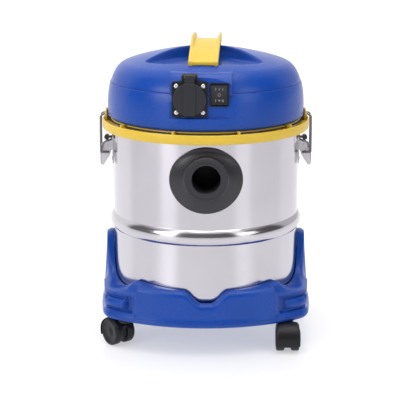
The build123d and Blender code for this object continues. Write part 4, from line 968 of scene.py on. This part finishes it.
def rounded_path(corners, radius, steps=5):
    """Corners of a path, each replaced by an arc."""
    path = [Vector(corners[0])]
    for before, corner, after in zip(corners, corners[1:], corners[2:]):
        here = Vector(corner)
        to_before, to_after = (Vector(before) - here).normalized(), (Vector(after) - here).normalized()
        for step in range(steps + 1):
            t = step / steps
            a, b = here + to_before * radius, here + to_after * radius
            path.append(a * (1 - t) ** 2 + here * 2 * t * (1 - t) + b * t * t)
    path.append(Vector(corners[-1]))
    return path


def slab(name, outline, sign, low, high):
    """Plate with its outline in (distance from the axis, height), from one y to another."""
    made = prism(name, outline, 0, high - low)
    return place(made, (0, high if sign > 0 else low, 0), Vector((sign, 0, 0)), UP)


def build_latches():
    """Over-centre latches: U-shaped levers with a fixed stop between their cheeks, and wire bails."""
    sizes = bpy.context.scene.vacuum_sizes
    flange = [(144.9, 293.8), (144.2, 290.0), (145.2, 280.0), (147.0, 274.5), (155.8, 260.6),
              (157.6, 258.9), (160.0, 259.2), (161.4, 261.5), (161.4, 286.5), (160.6, 289.2),
              (158.2, 292.0), (155.2, 294.2), (152.6, 295.9), (149.6, 296.4), (146.8, 295.6)]
    web = [(160.2, 260.2), (161.5, 261.6), (161.5, 279.0), (160.2, 279.0)]
    for side, sign in (("left", -1), ("right", 1)):
        body = f"latch_lever_{side}"
        lever = slab(f"lever_{side}", flange, sign, -7.6, -6.4)
        parts = [slab("cheek", flange, sign, 6.4, 7.6), slab("web", web, sign, -7.6, 7.6)]
        for facing in (-1, 1):
            rivet = lathe("rivet", [(0, 0), (2.0, 0), (2.0, 0.5), (1.5, 1.0), (0, 1.2)], 28)
            right = Vector((1, 0, 0))
            out = Vector((0, facing, 0))
            parts.append(place(rivet, (sign * 150.0, 7.5 * facing, 290.0), right, out.cross(right)))
        join_into(lever, parts)
        soften(lever, 0.25 * MM, 2, 40)
        fit(lever, body, "latch steel", (body,))

        # the roll is a fixed stop on a bracket of the latch plate, between the lever's cheeks
        roll = lathe(f"latch_stop_{side}", [(0, -6.0), (3.4, -6.0), (3.9, -5.5), (3.9, 5.5),
                                            (3.4, 6.0), (0, 6.0)], 40)
        place(roll, (sign * 151.6, 0, 301.6), Vector((1, 0, 0)), UP)
        bracket = prism("bracket", rounded_box(4.2, 4.5, 0.6, 3), 300.4, 303.0)
        join_into(roll, [shift(bracket, sign * 147.6, 0, 0)])
        fit(roll, "base", "satin black")

        bail = [(148.5, -8.2, 279.1), (148.5, -11.6, 279.1), (160.6, -11.9, 279.6), (160.6, -12.2, 310),
                (160.2, -12.2, 336.0), (155, -12.0, 338.65)]
        bail += [(x, -y, z) for x, y, z in reversed(bail)]
        path = rounded_path([(sign * x, y, z) for x, y, z in bail], 1.6)
        wire = wire_path(f"bail_wire_{side}", path, sizes.wire / 2)
        fit(wire, f"bail_{side}", "wire steel", (f"bail_{side}",), smooth=50)


# ---------------------------------------------------------------- casters
def caster_wheel(name, width):
    """Wheel with a dished outer face, which is its local +z side."""
    w = width / 2
    return lathe(name, [
        (0, w - 0.9), (4.6, w - 0.9), (5.4, w - 1.5), (8.0, w - 2.0), (15.6, w - 1.3), (16.8, w - 0.6),
        (17.2, w), (18.6, w), (19.7, w - 0.5), (20.35, w - 1.6), (20.5, w - 3.0), (20.5, 3.0 - w),
        (20.2, 1.4 - w), (19.0, 0.4 - w), (17.5, -w), (4.0, -w), (0, -w),
    ], 72)


def caster_hood(name, hub, trail, axle, half):
    """Curved hood over a pair of wheels, a little narrower towards its top."""
    rings = []
    for step in range(41):
        angle = math.radians(-24 + 174 * step / 40)
        wide = half * (1 - 0.15 * ease(0.5, 1.5, angle))
        outer = [(wide / 3, 22.7), (wide - 5.5, 22.6), (wide - 2.0, 22.2), (wide - 0.4, 21.6),
                 (wide, 21.0)]
        section = [(-x, radius) for x, radius in reversed(outer)] + outer
        section += [(wide - 1.2, 20.9), (0, 20.9), (1.2 - wide, 20.9)]
        ring = []
        for across, radius in section:
            point = hub + trail * radius * math.cos(angle) + axle * across
            ring.append((point.x, point.y, hub.z + radius * math.sin(angle)))
        rings.append(ring)
    return capped(name, rings)


def build_casters():
    """Twin-wheel casters: dished wheels under a curved hood."""
    width = bpy.context.scene.vacuum_sizes.wheel_width / MM
    offset, half = width / 2 + 4.6, width + 5.6
    web = [(radius * math.cos(math.radians(angle)), radius * math.sin(math.radians(angle)))
           for radius, angle in [(22, a) for a in range(-20, 151, 10)]
           + [(16.5, a) for a in range(165, 331, 15)]]
    for corner, heading in CASTER_TURNS.items():
        x = -CASTER_X if "left" in corner else CASTER_X
        y = -CASTER_Y if "front" in corner else CASTER_Y
        turn = math.radians(heading)
        trail = Vector((math.cos(turn), math.sin(turn), 0))
        axle = UP.cross(trail)
        hub = Vector((x, y, 20.5)) + trail * 18.0
        for side in "ab":
            node = f"caster_{corner}_wheel_{side}"
            low, high = map(Vector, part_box(node))
            out = axle if ((low + high) / 2 / MM - hub).dot(axle) > 0 else -axle
            right = UP.cross(out)
            wheel = caster_wheel(f"tread_{corner}_{side}", width)
            place(wheel, hub + out * offset, right, out.cross(right))
            fit(wheel, f"wheel_{corner}_{side}", "wheel grey", (node,))

        body = f"caster_{corner}"
        hood = caster_hood(f"hood_{corner}", hub, trail, axle, half)
        fork = place(prism("fork", web, -4.2, 4.2), hub, trail, UP)
        neck = lathe("neck", [(0, 38), (9.6, 38), (10.2, 40), (10.2, 44.5), (9.2, 46.4), (7.5, 47),
                              (0, 47)], 48)
        join_into(hood, [fork, shift(neck, x, y, 0)])
        fit(hood, body, "caster black", (f"{body}_hood",))
        rod = lathe(f"axle_{corner}", [(0, -15.4), (2.6, -15.4), (3.0, -15.0), (3.0, 15.0), (2.6, 15.4),
                                       (0, 15.4)], 32)
        place(rod, hub, trail, UP)
        fit(rod, body, "plated screws", (f"{body}_pins",))


# ---------------------------------------------------------------- hose inlet
COLLAR = 32.0


def inlet_point(k, cos, sin):
    """Point of ring k: 0 to 3 flange edge, 4 to 15 cone, 16 to 21 collar's rim, 22 to 25 its face."""
    edge_x, edge_z = 53.6 * cos, 48.8 * sin - 5.0
    edge_y = -math.sqrt(143.4 ** 2 - edge_x ** 2)
    low = 0.5 - 0.5 * sin
    foot = mix(-148.6, -154.5, low)
    if k < 4:
        shrink = 1 - 0.004 * k
        return edge_x * shrink, edge_y - 2.6 * k / 3, edge_z * shrink
    if k < 16:
        share = (k - 3) / 12
        start = Vector((edge_x * 0.988, edge_y - 2.6, edge_z * 0.988))
        end = Vector(((COLLAR + 1.2) * cos, foot, (COLLAR + 1.2) * sin))
        return start.lerp(end, share) + Vector((0, mix(1.6, -1.2, low) * math.sin(math.pi * share), 0))
    if k < 22:
        turn_in = 0.5 * math.pi * (k - 15) / 6
        radius = COLLAR + 1.2 - 2.4 * (1 - math.cos(turn_in))
        return radius * cos, mix(foot, -160.0, math.sin(turn_in)), radius * sin
    share = (k - 21) / 4
    radius = mix(COLLAR - 1.2, 22.0, share)
    return radius * cos, 0.5 * math.sin(math.pi * share) - 160.0, radius * sin


def build_inlet():
    """Hose inlet: saddle flange rising to the collar, with its bore open to the inside; behind it a dark
    closed cup paints shade into the bore.
    """
    around = [(cos, sin) for cos, sin, _ in circle(1, 0, 160)]
    rings = [[inlet_point(k, cos, sin) for cos, sin in around] for k in range(26)]
    rings += [[(radius * cos, y, radius * sin) for cos, sin in around] for radius, y in (
        (21.2, -159.7), (20.6, -158.8), (20.5, -157), (20.5, -150), (20.5, -118), (21.5, -112.4),
        (27.5, -112), (28, -113), (28, -139), (34, -139.6))]
    rings.append([(51.4 * cos, -math.sqrt(142.2 ** 2 - (51.4 * cos) ** 2), 46.6 * sin - 5.0)
                  for cos, sin in around])
    inlet = shift(skin("hose_inlet", rings, loop=True), 0, 0, INLET_HEIGHT)
    fit(inlet, "base", "satin black", ("inlet_fitting",), smooth=38)

    # dark cup behind the spigot, standing for the elbow that turns the air down the drum's wall; it is
    # closed and shuts the bore so that the bore looks dark inside: painted shade
    bore_shade_cup = lathe("inlet_elbow", [(0, 22.0), (9, 21.2), (17, 17.6), (22.6, 12.0), (25.4, 5.0), (26.0, 0.0),
                                (24.4, 0.0), (23.8, 4.6), (21.2, 10.9), (16, 16.0), (8.4, 19.4),
                                (0, 20.2)], 96)
    place(bore_shade_cup, (0, -113.5, INLET_HEIGHT), Vector((-1, 0, 0)), UP)
    fit(bore_shade_cup, "base", "seal rubber", smooth=60)


# ---------------------------------------------------------------- carrying handle
def build_handle():
    """Carrying handle: a bowed bar with a raised lip along each side."""
    sizes = bpy.context.scene.vacuum_sizes
    crown = through([(-92, 434.2), (-60, 443.8), (-26, 450.2), (4, 451.2), (34, 448.4), (70, 441.6),
                     (104, 431.2)])
    crest = through([(-92, 434.2), (-60, 452.0), (-26, 458.2), (8, 458.4), (32, 452.8), (52, 447.0),
                     (72, 441.0), (104, 431.0)])
    rings = []
    for step in range(81):
        run = mix(-92.0, 104.0, step / 80)
        top = crown(run)
        lip = max(crest(run), top + 0.25)
        thick = 5.5 if abs(run) < 88 else 6.8
        base = top - thick
        section = [(-20, base), (-20, lip), (-18.6, lip + 0.45), (-16.4, lip), (-15.2, top + 0.6),
                   (-13.8, top), (-7, top - 0.15), (0, top - 0.2), (7, top - 0.15), (13.8, top),
                   (15.2, top + 0.6), (16.4, lip), (18.6, lip + 0.45), (20, lip), (20, base),
                   (16, base - 0.2), (13.5, base + 1.0), (0, base + 1.2), (-13.5, base + 1.0),
                   (-16, base - 0.2)]
        widened = ease(-92, -25, run)
        rings.append([tuple(PANEL_OUT * run + PANEL_RIGHT * (x * (1 + 0.09 * widened) + 1.1 * widened)
                            + UP * z) for x, z in section])
    handle = capped("carry_handle", rings)
    soften(handle, sizes.handle_round, 2, 40)
    fit(handle, "head", "yellow plastic", ("handle",), smooth=50)


# ---------------------------------------------------------------- socket and switch
def build_socket():
    """Pan-head cross screws of the socket's plate."""
    head = bpy.context.scene.vacuum_sizes.screw_head / MM
    pan = lathe("pan_head", [(0, 0), (head, 0), (head, 0.5), (head - 0.25, 1.0), (head - 0.9, 1.6),
                             (head - 2.0, 1.95), (0, 2.05)], 40)
    outward(pan)
    for turn in (0, 90):
        blade = prism("cross", rounded_box(head - 0.9, 0.42, 0.2, 3), 1.0, 3.0)
        blade.matrix_world = Matrix.Rotation(math.radians(turn), 4, "Z")
        combine(pan, settle(blade), "DIFFERENCE")
    spread = grid_tree("screws on the plate", bpy.data.materials["plated screws"])
    screws = grow("socket_screw_heads", spread, {
        "Columns": 2, "Rows": 2, "Width": 38 * MM, "Depth": 38 * MM, "Turn": 0.7, "Piece": pan,
    })
    bpy.data.objects.remove(pan)
    on_panel(screws, SOCKET_AT, PANEL_DISTANCE + 3)
    fit(screws, "head", "plated screws", ("socket_screws",))


def build_switch_marks():
    """Generic bars, a ring and a wedge on the rocker."""
    row, thick = 8.2, 0.25
    marks = []
    for x, z in ((-5.0, row), (0, row), (5.0, row), (-5.0, -row), (4.2, -row), (6.0, -row)):
        marks.append(shift(prism("bar", rounded_box(0.4, 1.9, 0.25, 3), 0.0, thick), x, z, 0))
    marks.append(lathe("ring", [(1.7, 0.0), (2.3, 0.0), (2.3, thick), (1.7, thick)], 40, loop=True))
    marks.append(shift(prism("wedge", [(-1.6, 1.3), (1.6, 1.3), (0, -1.8)], 0.0, thick), 0, -row, 0))
    first = marks[0]
    join_into(first, marks[1:])
    first.name = "switch_marks"
    # the rocker's face is hollow, so the marks follow its arc
    for vertex in first.data.vertices:
        vertex.co.z += (1.6 * (vertex.co.y / MM / 13.8) ** 2 - 1.58) * MM
    on_panel(first, SWITCH_AT, PANEL_DISTANCE + 3)
    fit(first, "switch_rocker", "switch marks")


# ---------------------------------------------------------------- studio
LAMPS = (
    # name, place, power in watts, size
    ("top_softbox", (0.1, -0.3, 2.2), 18.0, 1.6),
    ("left_softbox", (-1.9, -1.5, 1.2), 13.0, 1.0),
    ("right_softbox", (1.9, -1.5, 1.1), 5.0, 1.0),
)


def build_floor():
    """Pale floor with a faint cloudiness."""
    tint = tuple(bpy.context.scene.vacuum_colours.floor)
    floor = add_object("studio_floor", bpy.data.meshes.new("studio_floor"))
    shape = bmesh.new()
    bmesh.ops.create_grid(shape, x_segments=24, y_segments=24, size=14.0)
    shape.to_mesh(floor.data)
    shape.free()
    material, surface = new_material("studio floor")
    cloud = noise_node(material.node_tree, object_place(material.node_tree), 1.5, 3.0)
    body = tinted(material, shade(tint, 0.57), shade(tint, 0.555), cloud)
    material.node_tree.links.new(body, surface.inputs["Base Color"])
    for socket, value in (("Emission Color", (0.985, 0.99, 1.0, 1.0)), ("Emission Strength", 0.48),
                          ("Roughness", 0.22), ("Specular IOR Level", 0.18)):
        surface.inputs[socket].default_value = value
    floor.data.materials.append(material)


def build_room():
    """World light: a bright room, dark in front above the horizon, with a soft box to each side."""
    world = bpy.data.worlds.new("studio")
    bpy.context.scene.world = world
    world.use_nodes = True
    made = world.node_tree
    made.nodes.clear()
    x, y, z = split_of(made, made.nodes.new("ShaderNodeTexCoord").outputs["Generated"])

    def step(value, low, high):
        return math_node(made, "DIVIDE", less(made, value, low), high - low, clamp=True)

    flat = math_node(made, "SQRT", total(made, product(made, x, x), product(made, y, y)))
    front = math_node(made, "DIVIDE", product(made, y, -1.0), flat)
    side = math_node(made, "ABSOLUTE", math_node(made, "DIVIDE", x, flat))
    dark = product(made, step(front, -0.34, -0.18), step(z, 0.80, 0.62))
    boxes = product(made, product(made, step(side, 0.56, 0.62), step(side, 0.86, 0.80)),
                    step(front, 0.3, 0.5))
    dark = product(made, dark, less(made, 1.0, boxes))
    strength = total(made, less(made, 1.08, product(made, dark, 0.90)), product(made, boxes, 0.8))
    dimmer_right = less(made, 1.0, product(made, step(x, 0.05, 0.60), 0.38))
    lit = made.nodes.new("ShaderNodeBackground")
    lit.inputs["Color"].default_value = (1.0, 0.985, 1.0, 1.0)
    plain = made.nodes.new("ShaderNodeBackground")
    plain.inputs["Color"].default_value = (1, 1, 1, 1)
    choose = made.nodes.new("ShaderNodeMixShader")
    for source, target in (
        (product(made, strength, dimmer_right), lit.inputs["Strength"]),
        (made.nodes.new("ShaderNodeLightPath").outputs["Is Camera Ray"], choose.inputs[0]),
        (lit.outputs[0], choose.inputs[1]),
        (plain.outputs[0], choose.inputs[2]),
        (choose.outputs[0], made.nodes.new("ShaderNodeOutputWorld").inputs[0]),
    ):
        made.links.new(source, target)


def build_stage():
    """Floor, room light, lamps and the camera."""
    build_floor()
    build_room()
    for name, stands_at, power, size in LAMPS:
        lamp = bpy.data.lights.new(name, "AREA")
        lamp.energy, lamp.size = power, size
        holder = add_object(name, lamp)
        holder.location = stands_at
        aim = Vector((0, 0, 0.3)) - Vector(stands_at)
        holder.rotation_euler = aim.to_track_quat("-Z", "Y").to_euler()
    camera = bpy.data.cameras.new("camera")
    camera.lens, camera.sensor_width, camera.clip_end = 121.5, 36.0, 60.0
    holder = add_object("camera", camera)
    holder.location = (-0.0088, -2.036, 0.697)
    holder.rotation_euler = (math.radians(90 - 13.68), 0, 0)
    bpy.context.scene.camera = holder
    bpy.context.scene.view_settings.view_transform = "Standard"


# ---------------------------------------------------------------- operators
class VACUUM_OT_stage(bpy.types.Operator):
    """Pale floor, soft light and the camera"""

    bl_idname = "vacuum.stage"
    bl_label = "Studio"

    def execute(self, context):
        build_stage()
        return {"FINISHED"}


class VACUUM_OT_finishes(bpy.types.Operator):
    """Procedural materials on every node"""

    bl_idname = "vacuum.finishes"
    bl_label = "Finishes"

    def execute(self, context):
        build_finishes()
        dress_frame()
        return {"FINISHED"}


class VACUUM_OT_tray(bpy.types.Operator):
    """Moulded tray with its arms, pods, notch and deck ribs"""

    bl_idname = "vacuum.tray"
    bl_label = "Tray"

    def execute(self, context):
        build_tray()
        return {"FINISHED"}


class VACUUM_OT_ring(bpy.types.Operator):
    """Ring round the drum's rim, with its groove, ribs and ears"""

    bl_idname = "vacuum.ring"
    bl_label = "Collar ring"

    def execute(self, context):
        build_ring()
        return {"FINISHED"}


class VACUUM_OT_cover(bpy.types.Operator):
    """Domed cover with the hand recess"""

    bl_idname = "vacuum.cover"
    bl_label = "Cover"

    def execute(self, context):
        build_cover()
        return {"FINISHED"}


class VACUUM_OT_housing(bpy.types.Operator):
    """Lower housing with the panel and its tower"""

    bl_idname = "vacuum.housing"
    bl_label = "Housing"

    def execute(self, context):
        build_housing()
        return {"FINISHED"}


class VACUUM_OT_latches(bpy.types.Operator):
    """Levers, stops and wire bails"""

    bl_idname = "vacuum.latches"
    bl_label = "Latches"

    def execute(self, context):
        build_latches()
        return {"FINISHED"}


class VACUUM_OT_casters(bpy.types.Operator):
    """Wheels, hoods and axles"""

    bl_idname = "vacuum.casters"
    bl_label = "Casters"

    def execute(self, context):
        build_casters()
        return {"FINISHED"}


class VACUUM_OT_inlet(bpy.types.Operator):
    """Flange, collar, bore and the dark cup behind it, which paints shade into the bore"""

    bl_idname = "vacuum.inlet"
    bl_label = "Hose inlet"

    def execute(self, context):
        build_inlet()
        return {"FINISHED"}


class VACUUM_OT_handle(bpy.types.Operator):
    """Carrying handle with raised lips"""

    bl_idname = "vacuum.handle"
    bl_label = "Handle"

    def execute(self, context):
        build_handle()
        return {"FINISHED"}


class VACUUM_OT_socket(bpy.types.Operator):
    """Cross-head screws on the socket plate"""

    bl_idname = "vacuum.socket"
    bl_label = "Socket screws"

    def execute(self, context):
        build_socket()
        return {"FINISHED"}


class VACUUM_OT_marks(bpy.types.Operator):
    """Generic marks on the rocker"""

    bl_idname = "vacuum.marks"
    bl_label = "Switch marks"

    def execute(self, context):
        build_switch_marks()
        return {"FINISHED"}


PIECES = (
    VACUUM_OT_stage, VACUUM_OT_finishes, VACUUM_OT_tray,
    VACUUM_OT_ring, VACUUM_OT_cover, VACUUM_OT_housing,
    VACUUM_OT_latches, VACUUM_OT_casters, VACUUM_OT_inlet,
    VACUUM_OT_handle, VACUUM_OT_socket, VACUUM_OT_marks,
)


class VACUUM_PT_pieces(bpy.types.Panel):
    """Lists the vacuum's pieces, sizes and colours"""

    bl_label = "Shop vacuum"
    bl_space_type = "VIEW_3D"
    bl_region_type = "UI"
    bl_category = "Vacuum"

    def draw(self, context):
        for piece in PIECES:
            self.layout.operator(piece.bl_idname, text=piece.bl_label)
        for group in (context.scene.vacuum_sizes, context.scene.vacuum_colours):
            for name in group.__annotations__:
                self.layout.prop(group, name)


CLASSES = (VacuumSizes, VacuumColours, *PIECES, VACUUM_PT_pieces)


def register():
    for made in CLASSES:
        bpy.utils.register_class(made)
    bpy.types.Scene.vacuum_sizes = PointerProperty(type=VacuumSizes)
    bpy.types.Scene.vacuum_colours = PointerProperty(type=VacuumColours)


def unregister():
    del bpy.types.Scene.vacuum_colours
    del bpy.types.Scene.vacuum_sizes
    for made in reversed(CLASSES):
        bpy.utils.unregister_class(made)


def main():
    register()
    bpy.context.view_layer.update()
    for piece in PIECES:
        getattr(bpy.ops.vacuum, piece.bl_idname.split(".")[1])()


if __name__ == "__main__":
    main()
